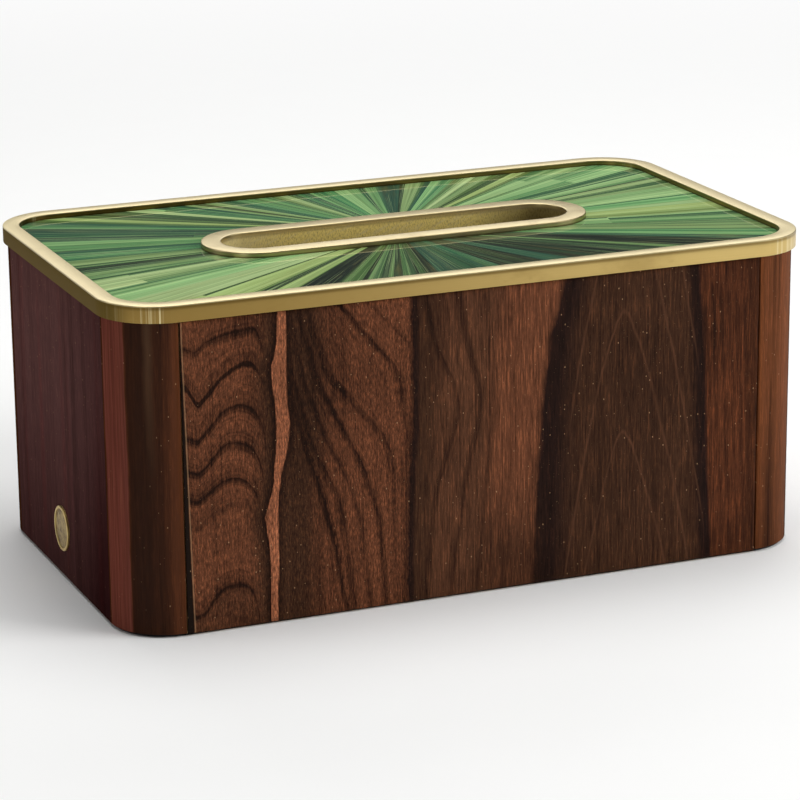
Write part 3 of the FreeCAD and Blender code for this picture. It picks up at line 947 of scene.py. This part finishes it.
# Dark lines of the fan, from left to right, and how dark they and the zone's two edges are
FAN = (
    edge_line((0, -49.5), (11, -52.2), (24, -54.4), (38, -57.8), (49, -61.1), (59, -64.4), (80, -70.2),
              (110, -71.3)),
    edge_line((0, -47.5), (22, -50.0), (42, -53.3), (53, -58.9), (62, -63.3), (90, -70.2), (110, -71.2)),
    edge_line((0, -42.0), (30, -44.5), (45, -48.5), (65, -58.5), (85, -65.5), (110, -70.0)),
    edge_line((0, -36.0), (31, -37.8), (49, -43.3), (67, -52.2), (81, -58.9), (110, -67.0)),
    edge_line((0, -31.5), (40, -32.5), (55, -34.0), (62, -36.7), (78, -50.0), (85, -55.6), (110, -64.0)),
    edge_line((0, -28.6), (60, -27.5), (79, -28.9), (87, -32.2), (97, -41.1), (110, -52.0)),
    edge_line((0, -27.9), (47, -26.8), (75, -25.1), (90, -25.3), (94, -26.5), (105, -36.7), (110, -41.0)),
)
FAN_WEIGHTS = (0.3, 0.66, 0.48, 0.45, 0.60, 0.38, 0.50, 0.38, 0.1)
# Dark lines of the bulge, from left to right, and how dark they and the zone's two edges are
BULGE = (
    edge_line((0, -20.5), (23, -18.8), (41, -16.3), (55, -11.3), (67, -7.5), (78, -10.0), (91, -16.3),
              (110, -20.5)),
    edge_line((0, -11.0), (16, -9.4), (33, -6.9), (51, -3.1), (61, 0.0), (73, 0.6), (86, -3.1),
              (110, -7.0)),
    edge_line((0, -1.0), (31, 1.3), (48, 3.8), (61, 5.0), (75, 5.5), (110, 2.0)),
    edge_line((0, 9.0), (50, 12.0), (75, 13.5), (110, 15.0)),
)
BULGE_WEIGHTS = (0.1, 0.45, 0.42, 0.28, 0.16, 0.1)


def share(x, left, right):
    """Share of the way from the left line to the right one, from 0 to 1."""
    least_gap = 0.05
    return np.clip((x - left) / np.maximum(right - left, least_gap), 0.0, 1.0)


def count_lines(x, lines):
    """How many of the lines lie behind each point, with the share of the way to the next one."""
    return sum(share(x, left, right) for left, right in zip(lines, lines[1:]))


def find_gap(x, lines):
    """Distance between the two lines round each point, in millimetres."""
    least, most = 0.3, 40.0
    spaces = [right - left for left, right in zip(lines, lines[1:])]
    return np.clip(np.select([x < line for line in lines[1:]], spaces, spaces[-1]), least, most)


def figure_fields(x, z):
    """Ring count, zone number, line strength and line spacing at points of the veneer, in millimetres.

    The zones run from the left: 0 stacked arches, 1 pale sliver, 2 fan, 3 bulging lines, 4 greyish
    heartwood behind a dark band, and 5 straight reddish wood. The ring count steps by one from dark
    line to dark line.
    """
    edges = [line(z) for line in (LEFT_END, SLIVER_LEFT, SLIVER_RIGHT, SEAM, DARK_BAND, RIGHT_LINE,
                                  RIGHT_END)]
    zone = count_lines(x, edges)
    parts = [zone < 1.5, zone < 3.0, zone < 4.08, zone < 5.0]
    sets = ((z, [line(x) for line in ARCHES], ARCH_WEIGHTS),
            (x, [edges[2], *(line(z) for line in FAN), edges[3]], FAN_WEIGHTS),
            (x, [edges[3], *(line(z) for line in BULGE), edges[4]], BULGE_WEIGHTS))
    counts = [count_lines(along, lines) for along, lines, weights in sets]
    gaps = [find_gap(along, lines) for along, lines, weights in sets]
    strengths = [np.interp(count, range(len(weights)), weights)
                 for count, (along, lines, weights) in zip(counts, sets)]
    strengths[0] = strengths[0] * (1.0 - 0.75 * share(zone, 0.80, 0.95))
    steepness = np.where(x < HEART_X, 1.20, 0.98)
    cathedral = (z - HEART_Z + steepness * np.abs(x - HEART_X) ** 1.4) / HEART_STEP
    rings = np.select(parts, [*counts, cathedral], (x - edges[5]) / STRAIGHT_STEP)
    strength = np.select(parts, [*strengths, 0.0], STRAIGHT_WEIGHT)
    gap = np.select(parts, [*gaps, HEART_GAP], STRAIGHT_GAP)
    return rings, zone, strength, gap


def at(*stops):
    """Stops placed by zone number, on a scale from 0 to 1."""
    return [(place / ZONES, value) for place, value in stops]


def zone_colours(look):
    """Colour of the wood between the dark lines, by zone number."""
    return at((0.0, look.light), (0.72, look.light), (0.92, look.grey), (0.98, look.dark),
              (1.05, look.dark), (1.08, look.sliver), (1.93, look.sliver), (1.98, look.dark),
              (2.06, look.grey), (2.20, look.grey), (2.38, look.light), (2.97, look.light),
              (2.99, look.shade), (3.02, look.shade), (3.05, look.grey), (3.11, look.grey),
              (3.24, look.bulge), (3.52, look.bulge), (3.66, look.light), (3.98, look.light),
              (3.995, look.shade), (4.09, look.shade), (4.24, look.grey), (4.92, look.grey),
              (4.975, look.shade), (5.05, look.shade), (5.10, look.red), (5.75, look.red),
              (5.83, look.post), (6.0, look.post))


def figured_rosewood(look):
    """Veneer whose dark lines follow the ring count and whose colours follow the zones."""
    f = Finish("rosewood_figured")
    x, _, z = f.place()
    drift = f.noise(x * 55.0, 3.0, z * 30.0, detail=4.0, roughness=0.6) - 0.5
    fray = f.noise(x * 420.0, 5.0, z * 150.0, detail=3.0, roughness=0.65) - 0.5
    zone, gap = f.attribute("zone"), f.attribute("gap")
    rings = f.attribute("rings") + drift * 2.6 / gap
    arches = zone.fall(0.90, 0.98)
    low_arch = arches * rings.fall(0.92, 1.10) * 0.55
    low_bulge = zone.band(3.50, 3.98, 0.12) * z.fall(10 * MM, 50 * MM) * 0.65
    light = ((zone + fray * 0.05) / ZONES).ramp(zone_colours(look))
    light = f.mix(low_arch + low_bulge, light, look.grey)
    depth = f.attribute("strength") * (1.0 - zone.band(1.05, 1.95, 0.05))
    late, wake, echo = dark_lines(f, rings, gap, drift)
    fibre = f.noise(x * 1500.0, 2.0, z * 40.0 + drift * 3.0, detail=3.0, roughness=0.7)
    strand = f.noise(x * 420.0, 4.0, z * 16.0 + drift * 3.0, detail=2.0, roughness=0.6)
    mottle = f.noise(x * 24.0, 8.0, z * 17.0, detail=3.0, roughness=0.55)
    flow = f.noise(rings * 12.0, 6.0, z * 16.0, detail=3.0, roughness=0.7)
    lines = (late + echo + wake * arches * 0.35) * depth
    darkness = (lines + fibre.rise(0.38, 0.75) * 0.34 + strand.rise(0.40, 0.75) * 0.26
                + mottle.rise(0.40, 0.72) * 0.32 + flow.rise(0.42, 0.70) * depth * 0.45)
    shade = f.mix(darkness.at_most(1.0), light, look.dark)
    shade = short_marks(f, shade, x, z, zone)
    shade = heartwood(f, shade, look, x, z, zone, rings, strand)
    shade = left_seam(f, shade, look, x, z)
    pores = f.specks(x * 720.0, z * 400.0, 9.0, 0.5)
    dust = f.specks(x * 1700.0, z * 1100.0, 4.0, 0.5)
    shade = f.mix(dust * 0.35 + pores * 0.65, shade, look.fleck_and_highlight)
    return lacquered(f, shade, fibre * 0.5 - late * depth * 0.2, rough=0.33, sheen=0.05)


def dark_lines(f, rings, gap, drift):
    """The dark lines, the bands that trail them and the faint lines between them."""
    turn = (rings + 0.5).fract() - 0.5
    each = f.chance((rings + 0.5).floor() * 7.31)
    below = (turn * gap / -(2.1 + each * 1.4)).fall(0.05, 1.0)
    above = (turn * gap / (1.5 + each * 0.9)).fall(0.05, 1.0)
    late = below * above * (0.8 + each * 0.2)
    wake = (turn * gap / 6.5).band(0.0, 0.85, 0.12)
    echo = (rings * 3.0 + drift * 2.0).fract().rise(0.3, 0.9) * 0.12
    return late, wake, echo


def short_marks(f, shade, x, z, zone):
    """Short light and dark marks along the grain, longer from the bulging lines on."""
    speckle = f.noise(x * 2000.0, 7.0, z * 430.0, detail=3.0, roughness=0.75)
    streak = f.noise(x * 1500.0, 11.0, z * 85.0, detail=3.0, roughness=0.75)
    short = streak + (speckle - streak) * (1.0 - zone.rise(3.00, 3.04) * 0.75)
    shade = f.tinge(short.rise(0.50, 0.64) * 0.9, shade, (2.3, 2.1, 1.9))
    return f.tinge(short.fall(0.36, 0.50), shade, (0.48, 0.44, 0.40))


def heartwood(f, shade, look, x, z, zone, rings, strand):
    """Pinkish cathedral arches and dark stripes in the greyish zone."""
    heart = zone.rise(4.16, 4.20) * zone.fall(4.95, 5.0)
    thin = 0.04 + (abs(x - HEART_X * MM) / (15 * MM)).at_most(1.0) * 0.06
    nearness = 1.0 - abs(rings.fract() - 0.5) * 2.0
    arch = (nearness / thin).fall(0.0, 1.6) * rings.rise(-0.75, -0.35)
    shade = f.mix(heart * arch * (strand * 0.70), shade, look.grey_line)
    stripe = f.noise(x * 210.0, 12.0, z * 7.0, detail=2.0, roughness=0.6)
    return f.mix(heart * stripe.rise(0.48, 0.72) * 0.40, shade, look.dark)


def left_seam(f, shade, look, x, z):
    """Painted shadow in the gap at the veneer's left end, wider low down, with a painted highlight beside
    it where the veneer's edge catches the light.
    """
    closed, narrow, spread = 105 * MM, 0.2 * MM, 2.1 * MM
    past = x - (VENEER_LOW.x + narrow + (1.0 - z / closed).at_least(0.0) * spread)
    shade = f.mix(past.band(0.1 * MM, 0.5 * MM, 0.1 * MM) * 0.30, shade, look.fleck_and_highlight)
    return f.mix(past.fall(-0.2 * MM, 0.1 * MM), shade, GAP_SHADOW)


class TISSUEBOX_OT_figured_veneer(bpy.types.Operator):
    """Model the drawer's face veneer and lay its figure out on it"""
    bl_idname = "tissue_box.figured_veneer"
    bl_label = "Figured Veneer"

    def execute(self, context):
        sizes = context.scene.tissue_box_sizes
        wide, tall = VENEER_HIGH.x - VENEER_LOW.x, VENEER_HIGH.z - VENEER_LOW.z
        deselect()
        bpy.ops.mesh.primitive_grid_add(x_subdivisions=round(wide / sizes.grid_step),
                                        y_subdivisions=round(tall / (2 * sizes.grid_step)), size=1.0,
                                        location=(0, VENEER_LOW.y, (VENEER_LOW.z + VENEER_HIGH.z) / 2),
                                        rotation=(math.pi / 2, 0, 0))
        veneer = bpy.context.object
        veneer.name = "figured_veneer"
        veneer.scale = (wide, tall, 1.0)
        settle(veneer)
        bpy.ops.object.mode_set(mode="EDIT")
        pick("EDGE", lambda edge: edge.is_boundary)
        extrude((0, VENEER_HIGH.y - VENEER_LOW.y, 0))
        bpy.ops.mesh.edge_face_add()
        bpy.ops.mesh.select_all(action="SELECT")
        bpy.ops.mesh.normals_make_consistent(inside=False)
        ease(sizes.veneer_edge, self.is_front_edge, segments=2)
        close_up(veneer)
        self.lay_figure(veneer)
        dress(veneer, "drawer", figured_rosewood(woods()), "drawer_veneer")
        return {"FINISHED"}

    @staticmethod
    def is_front_edge(edge):
        """Whether an edge is one of the four round the veneer's face."""
        level = all(abs(vert.co.y - VENEER_LOW.y) < SAME for vert in edge.verts)
        return level and edge.calc_face_angle() > SHARP

    @staticmethod
    def lay_figure(veneer):
        """Stores the figure's numbers at each point."""
        mesh = veneer.data
        places = np.zeros(len(mesh.vertices) * 3)
        mesh.vertices.foreach_get("co", places)
        places = places.reshape(-1, 3) / MM
        foot = POST_LOW.z / MM
        fields = figure_fields(places[:, 0], places[:, 2] - foot)
        for name, values in zip(("rings", "zone", "strength", "gap"), fields):
            mesh.attributes.new(name, "FLOAT", "POINT").data.foreach_set("value", values)


# ------------------------------------------------------------------ the straw

RAY_COUNT = 52.0
RAY_START = 4.5
# How light the straw is at each angle round the top, in degrees from the X axis: partly the splints' own
# dye, partly painted sheen
RAY_TONES = ((0, 1.00), (22, 0.88), (32, 0.95), (45, 0.80), (60, 0.50), (66.7, 0.42), (66.9, -0.25),
             (73.6, -0.25), (73.8, 0.60), (100, 0.62), (112, 0.54), (130, 0.46), (137, 0.66), (144, 0.58),
             (150, 0.42), (184, 0.44), (190, 0.78), (214, 0.78), (225.9, 0.42), (226.1, -0.25),
             (232.8, -0.25), (233.0, 0.32), (247, 0.30), (256, 0.10), (288, 0.06), (330, 0.20), (345, 0.76),
             (360, 1.00))


def straw_splints(look):
    """Dyed splints of straw that fan out from the middle, under gloss lacquer, with their sheen painted in
    as lighter tones and light streaks.
    """
    f = Finish("straw_sunburst")
    x, y, _ = f.place()
    away = f.distance(x, y)
    turn = (f.math("ARCTAN2", y, x) / math.tau + 1.0).fract()
    count = (turn - RAY_START / 360.0) * RAY_COUNT + RAY_COUNT
    ray, within = count.floor(), count.fract()
    luck, cast = f.chance(ray * 3.7 + 11.0), f.chance(ray * 5.3 + 2.0)
    halves = (away - (50 * MM + luck * (90 * MM))).rise(-0.1 * MM, 0.1 * MM)
    joint = halves * (f.chance(ray * 2.9) - 0.55).math("SIGN")
    place = within * 3.2 + luck * 0.9
    own = f.chance((ray * 5.0 + place.floor() + joint.at_least(0.0) * 0.37) * 1.9 + 5.0)
    fan = turn.level([(angle / 360.0, value) for angle, value in RAY_TONES])
    spread = 0.40 + fan * 0.85 - fan.rise(0.85, 1.0) * 0.60
    tone = fan + (luck - 0.5) * 0.50 + (own - 0.5) * spread - 0.03
    shade = tone.ramp([(0.0, look.deep), (0.22, look.dark), (0.45, look.middle), (0.70, look.leaf),
                       (1.0, look.pale)])
    shade = f.mix(cast.rise(0.50, 0.90) * 0.8, shade, look.teal, "SOFT_LIGHT")
    shade = f.mix(cast.fall(0.05, 0.35) * 0.5, shade, look.straw, "SOFT_LIGHT")
    shade = f.mix(cast.rise(0.55, 0.85) * 0.20, shade, look.teal)
    faded = f.noise(turn * 90.0, away * 20.0, 15.0 + own * 3.0, detail=3.0, roughness=0.7)
    shade = f.mix(faded.rise(0.50, 0.75) * 0.25, shade, look.straw)
    fibres = f.noise(turn * 1300.0, away * 12.0, 1.0, detail=3.0, roughness=0.7)
    streaks = f.noise(turn * 620.0, away * 6.0, 7.0 + own, detail=2.0, roughness=0.6)
    hair = f.noise(turn * 1100.0, away * 14.0, 3.0, detail=1.0)
    # Light streaks and hairlines, partly the straw's fibres and partly painted sheen, stronger where the
    # tones are lighter
    bright = f.mix(0.35, f.times(shade, (1.5, 1.5, 1.5)), look.pale)
    shade = f.tinge(fibres.rise(0.44, 0.62) * (0.9 - fan * 0.4), shade, (0.42, 0.46, 0.38))
    shade = f.mix(streaks.rise(0.50, 0.66) * (0.12 + fan * 0.95), shade, bright)
    shade = f.mix(hair.rise(0.60, 0.66) * (0.30 + fan * 0.35), shade, look.pale)
    edge = abs(within - 0.5).rise(0.475, 0.5)
    gap = abs(place.fract() - 0.5).rise(0.47, 0.5)
    shade = f.mix(edge * 0.35 + gap * 0.25, shade, look.deep)
    normal = f.bump(fibres, 0.03 * MM, 0.35)
    return f.surface(Base_Color=shade, Roughness=0.36 + fibres * 0.16, Specular_IOR_Level=0.0,
                     Normal=normal, Coat_Weight=1.0, Coat_Roughness=0.05, Coat_IOR=1.45)


class TISSUEBOX_OT_straw_top(bpy.types.Operator):
    """Finish the straw sunburst"""
    bl_idname = "tissue_box.straw_top"
    bl_label = "Straw Top"

    def execute(self, context):
        coat(straw_splints(context.scene.tissue_box_top), "straw_sunburst")
        return {"FINISHED"}


# --------------------------------------------------- boards, drawer and felts

PLY_THICK = 1.4 * MM


def plywood(name, look, axis):
    """Birch plywood whose plies are stacked along an axis."""
    f = Finish(name)
    places = f.place()
    through = places.pop(axis)
    first, second = places
    ply = through * (1.0 / PLY_THICK)
    turned = (ply.floor() * 0.5).fract().rise(0.2, 0.3)
    glue = abs(ply.fract() - 0.5).rise(0.44, 0.5)
    grain = f.noise(first * 900.0, through * 900.0, second * 30.0, detail=3.0, roughness=0.6)
    cross = f.noise(first * 40.0, through * 500.0, second * 900.0, detail=3.0, roughness=0.6)
    side = f.mix(turned, look.ply, look.ply_end)
    side = f.mix(glue * 0.6, side, look.glue)
    shade = f.mix(f.facing(axis), side, look.ply)
    shade = f.mix(grain.rise(0.4, 0.8) * 0.35 + cross.rise(0.55, 0.8) * 0.1, shade, look.ply_end)
    normal = f.bump(grain, 0.05 * MM, 0.4)
    return f.surface(Base_Color=shade, Roughness=0.55 + grain * 0.1, Normal=normal)


def drawer_wood(name, look, axis, seed):
    """Pale hardwood with its grain along an axis and end grain on the faces that cross it."""
    f = Finish(name)
    places = f.place()
    along = places.pop(axis)
    first, second = places
    swayed = second + (f.noise(first * 30.0, seed, along * 8.0) - 0.5) * (6 * MM)
    ring = (swayed * 170.0 + first * 60.0 + seed).fract()
    late = ring.rise(0.4, 0.92) * ring.fall(0.93, 1.0)
    fine = f.noise(swayed * 1800.0, first * 1800.0, along * 25.0 + seed, detail=3.0, roughness=0.6)
    fleck = f.noise(second * 3000.0, first * 3000.0, along * 3000.0, detail=1.0)
    shade = f.mix(late * 0.45 + fine.rise(0.4, 0.8) * 0.3, look.pale, look.pale_line)
    dark_end = f.mix(fleck.rise(0.4, 0.7) * 0.5, look.pale_line, look.pale_end)
    shade = f.mix(f.facing(axis) * 0.75, shade, dark_end)
    normal = f.bump(fine, 0.05 * MM, 0.4)
    return f.surface(Base_Color=shade, Roughness=0.46 + fine * 0.12, Normal=normal)


class TISSUEBOX_OT_boards(bpy.types.Operator):
    """Finish the plywood boards and the drawer's hardwood"""
    bl_idname = "tissue_box.boards"
    bl_label = "Boards and Drawer Wood"

    def execute(self, context):
        look = woods()
        coat(plywood("plywood_level", look, Z), "base_board", "top_board", "drawer_bottom")
        coat(plywood("plywood_ends", look, X), "end_panel_left", "end_panel_right")
        coat(plywood("plywood_front", look, Y), "back_panel", "drawer_front")
        coat(drawer_wood("hardwood_sides", look, Y, 3.0), "drawer_side_left", "drawer_side_right",
             "runner_left", "runner_right")
        coat(drawer_wood("hardwood_back", look, X, 8.0), "drawer_back", "drawer_stops")
        return {"FINISHED"}


def felt(name, shade, fibre):
    """Pressed wool felt."""
    f = Finish(name)
    x, y, z = f.place()
    matted = f.noise(x * 900.0, y * 900.0, z * 900.0, detail=4.0, roughness=0.75, distortion=1.5)
    tuft = f.noise(x * 2600.0, y * 2600.0, z * 2600.0, detail=2.0, roughness=0.7)
    wool = f.mix(matted.rise(0.35, 0.75) * 0.7, shade, fibre)
    normal = f.bump(matted + tuft * 0.6, 0.3 * MM, 0.6)
    return f.surface(Base_Color=wool, Roughness=0.95, Specular_IOR_Level=0.15, Sheen_Weight=0.25,
                     Sheen_Roughness=0.5, Normal=normal)


class TISSUEBOX_OT_felts(bpy.types.Operator):
    """Model the felt under the case and the felt in the drawer"""
    bl_idname = "tissue_box.felts"
    bl_label = "Felts"

    def execute(self, context):
        look = context.scene.tissue_box_felt
        self.model_base(felt("felt_base", look.base, look.base_fibre))
        self.model_lining(felt("felt_lining", look.lining, look.lining_fibre))
        return {"FINISHED"}

    @staticmethod
    def model_base(black):
        """Rounded sheet with room for the drawer's front and for fingertips."""
        base = new_plate("base_felt_sheet", FELT_LOW, FELT_HIGH, FELT_LOW.z)
        round_corners(settings().post_radius - (POST_HIGH.x - FELT_HIGH.x), segments=16)
        draw_up(FELT_HIGH.z - FELT_LOW.z)
        close_up(base)
        below, above = -10 * MM, 10 * MM
        before_front = -100 * MM
        inside = POST_HIGH.x - settings().post_radius
        cut_away(base, (-inside, before_front, below), (inside, BOARD_FRONT, above))
        notch_side, notch_start, notch_end = 48 * MM, BOARD_FRONT - 16 * MM, BOARD_FRONT + 12 * MM
        cut_away(base, (-notch_side, notch_start, below), (notch_side, notch_end, above),
                 corner=4 * MM, corner_test=lambda vert: vert.co.y > BOARD_FRONT)
        bpy.ops.object.mode_set(mode="EDIT")
        ease(0.25 * MM, sharp_at(FELT_LOW.z), segments=2)
        close_up(base)
        dress(base, "case", black, "base_felt")

    @staticmethod
    def model_lining(green):
        """Sheet that lies a little uneven on the drawer's bottom."""
        lining = new_plate("drawer_lining_sheet", LINING_LOW, LINING_HIGH, LINING_LOW.z)
        bpy.ops.mesh.select_all(action="SELECT")
        bpy.ops.mesh.subdivide(number_cuts=40)
        bpy.ops.object.mode_set(mode="OBJECT")
        thick = LINING_HIGH.z - LINING_LOW.z
        apply_modifier(lining, "SOLIDIFY", thickness=0.8 * thick, offset=1.0)
        clouds = bpy.data.textures.new("felt_unevenness", "CLOUDS")
        clouds.noise_scale = 30 * MM
        group = lining.vertex_groups.new(name="upper")
        upper = [vert.index for vert in lining.data.vertices if vert.co.z > LINING_LOW.z + 0.5 * thick]
        group.add(upper, 1.0, "REPLACE")
        apply_modifier(lining, "DISPLACE", texture=clouds, strength=0.3 * thick, mid_level=0.4,
                       direction="Z", texture_coords="GLOBAL", vertex_group="upper")
        lining.vertex_groups.clear()
        bpy.ops.object.mode_set(mode="EDIT")
        close_up(lining)
        dress(lining, "drawer", green, "drawer_lining")


def plated_steel(name, shade, rough):
    """Zinc or nickel plate with fine turning marks."""
    f = Finish(name)
    x, y, z = f.place()
    cloud = f.noise(x * 700.0, y * 700.0, z * 700.0, detail=3.0, roughness=0.6)
    scratch = f.noise(x * 4000.0, y * 300.0, z * 4000.0, detail=2.0)
    tone = f.mix(cloud.rise(0.4, 0.8) * 0.4, shade, dimmed(shade, 0.55))
    normal = f.bump(scratch, 0.02 * MM, 0.4)
    return f.surface(Base_Color=tone, Metallic=1.0, Roughness=rough + scratch * 0.12, Normal=normal)


class TISSUEBOX_OT_fittings(bpy.types.Operator):
    """Finish the screws, the magnets and their plates"""
    bl_idname = "tissue_box.fittings"
    bl_label = "Screws and Catch"

    def execute(self, context):
        metal = context.scene.tissue_box_metal
        coat(plated_steel("zinc_plate", metal.steel, 0.34), "runner_screws", "stop_screws", "catch_plates")
        coat(plated_steel("nickel_plate", metal.nickel, 0.2), "catch_magnets")
        return {"FINISHED"}


# ------------------------------------------------------------------ the stage

AIM = Vector((0.29, -0.94, 51.39)) * MM
CAMERA_AZIMUTH = math.radians(-22.23282)
CAMERA_ELEVATION = math.radians(16.24144)
CAMERA_ROLL = math.radians(-0.5883)
CAMERA_DISTANCE = 1.22871
CAMERA_LENS = 149.475


def add_camera():
    """Camera that looks at the box from the left front, a little above it."""
    level = math.cos(CAMERA_ELEVATION)
    away = Vector((math.sin(CAMERA_AZIMUTH) * level, -math.cos(CAMERA_AZIMUTH) * level,
                   math.sin(CAMERA_ELEVATION)))
    lens = bpy.data.cameras.new("camera")
    lens.lens, lens.sensor_width = CAMERA_LENS, 36.0
    lens.clip_start, lens.clip_end = 0.05, 60.0
    camera = bpy.data.objects.new("camera", lens)
    bpy.context.scene.collection.objects.link(camera)
    turn = (-away).to_track_quat("-Z", "Y").to_matrix().to_4x4()
    camera.matrix_world = (Matrix.Translation(AIM + away * CAMERA_DISTANCE) @ turn
                           @ Matrix.Rotation(CAMERA_ROLL, 4, "Z"))
    bpy.context.scene.camera = camera


def add_light(name, place, size, power, target=(0, 0, 0.06), mirrored=True):
    """Soft oblong light that faces a target, and that gloss may mirror or not."""
    data = bpy.data.lights.new(name, "AREA")
    data.shape, data.size, data.size_y, data.energy = "RECTANGLE", size[0], size[1], power
    light = bpy.data.objects.new(name, data)
    bpy.context.scene.collection.objects.link(light)
    light.location = place
    light.rotation_euler = (Vector(target) - Vector(place)).to_track_quat("-Z", "Y").to_euler()
    light.visible_glossy = mirrored


def floor_paint(shade):
    """Pale floor that keeps the shadow near the box and goes on plain white far from it."""
    f = Finish("floor_paint")
    x, y, z = f.place()
    fleck = f.noise(x * 40.0, y * 40.0, z, detail=3.0)
    near = f.node("ShaderNodeBsdfDiffuse", None, {"Color": f.mix(fleck * 0.03, shade, (0.6, 0.6, 0.6))})
    far = f.node("ShaderNodeEmission", None, {"Color": (1.0, 1.0, 1.0), "Strength": 1.0})
    camera, glossy, clear = [f.node("ShaderNodeLightPath", out=f"Is {kind} Ray")
                             for kind in ("Camera", "Glossy", "Transmission")]
    blend = f.distance(x, y).rise(0.5, 1.6) * (camera + glossy + clear).at_most(1.0)
    return f.output(f.node("ShaderNodeMixShader", None, {0: blend, 1: near, 2: far}))


class TISSUEBOX_OT_stage(bpy.types.Operator):
    """Set up the floor, the lights and the camera"""
    bl_idname = "tissue_box.stage"
    bl_label = "Stage"

    def execute(self, context):
        stage = context.scene.tissue_box_stage
        deselect()
        bpy.ops.mesh.primitive_circle_add(vertices=96, radius=12.0, fill_type="NGON")
        floor = context.object
        floor.name = "floor"
        floor.data.materials.append(floor_paint(stage.floor))
        add_light("top_light", (0.1, 0.1, 1.6), (1.6, 1.2), stage.top)
        add_light("back_light", (0.75, 2.1, 1.45), (2.8, 1.3), stage.back)
        add_light("key_light", (1.75, -1.25, 0.95), (1.1, 1.3), stage.key, mirrored=False)
        add_light("fill_light", (2.10, -1.50, 1.20), (2.6, 2.0), stage.fill)
        add_light("side_light", (-1.8, 0.55, 0.95), (0.9, 1.1), stage.side)
        add_light("strip_light", (-1.08, -1.04, 0.8), (0.2, 1.5), stage.strip, (0, 0, 0.3))
        world = bpy.data.worlds.new("plain_studio")
        context.scene.world = world
        world.use_nodes = True
        background = world.node_tree.nodes["Background"]
        background.inputs["Color"].default_value = (1, 1, 1, 1)
        background.inputs["Strength"].default_value = stage.world
        context.scene.view_settings.view_transform = "Standard"
        add_camera()
        return {"FINISHED"}


# --------------------------------------------------------------- the add-on

GROUPS = {
    "tissue_box_sizes": TissueBoxSizes,
    "tissue_box_wood": TissueBoxWood,
    "tissue_box_top": TissueBoxTop,
    "tissue_box_metal": TissueBoxMetal,
    "tissue_box_felt": TissueBoxFelt,
    "tissue_box_stage": TissueBoxStage,
}
OPERATORS = (TISSUEBOX_OT_stage, TISSUEBOX_OT_rim, TISSUEBOX_OT_collar, TISSUEBOX_OT_medallion,
             TISSUEBOX_OT_posts, TISSUEBOX_OT_wall_veneers, TISSUEBOX_OT_figured_veneer,
             TISSUEBOX_OT_straw_top, TISSUEBOX_OT_boards, TISSUEBOX_OT_felts, TISSUEBOX_OT_fittings)


class TISSUEBOX_PT_panel(bpy.types.Panel):
    """Lists the box's operators and settings"""
    bl_idname = "TISSUEBOX_PT_panel"
    bl_label = "Tissue Box"
    bl_space_type = "VIEW_3D"
    bl_region_type = "UI"
    bl_category = "Tissue Box"

    def draw(self, context):
        for operator in OPERATORS:
            self.layout.operator(operator.bl_idname)
        for name, group in GROUPS.items():
            column = self.layout.column()
            column.label(text=group.__doc__)
            for key in group.__annotations__:
                column.prop(getattr(context.scene, name), key)


CLASSES = (*GROUPS.values(), *OPERATORS, TISSUEBOX_PT_panel)


def register():
    for item in CLASSES:
        bpy.utils.register_class(item)
    for name, group in GROUPS.items():
        setattr(bpy.types.Scene, name, bpy.props.PointerProperty(type=group))


def unregister():
    for name in GROUPS:
        delattr(bpy.types.Scene, name)
    for item in reversed(CLASSES):
        bpy.utils.unregister_class(item)


def main():
    """Builds everything in order."""
    register()
    for operator in OPERATORS:
        family, name = operator.bl_idname.split(".")
        getattr(getattr(bpy.ops, family), name)()
    deselect()


if __name__ == "__main__":
    main()
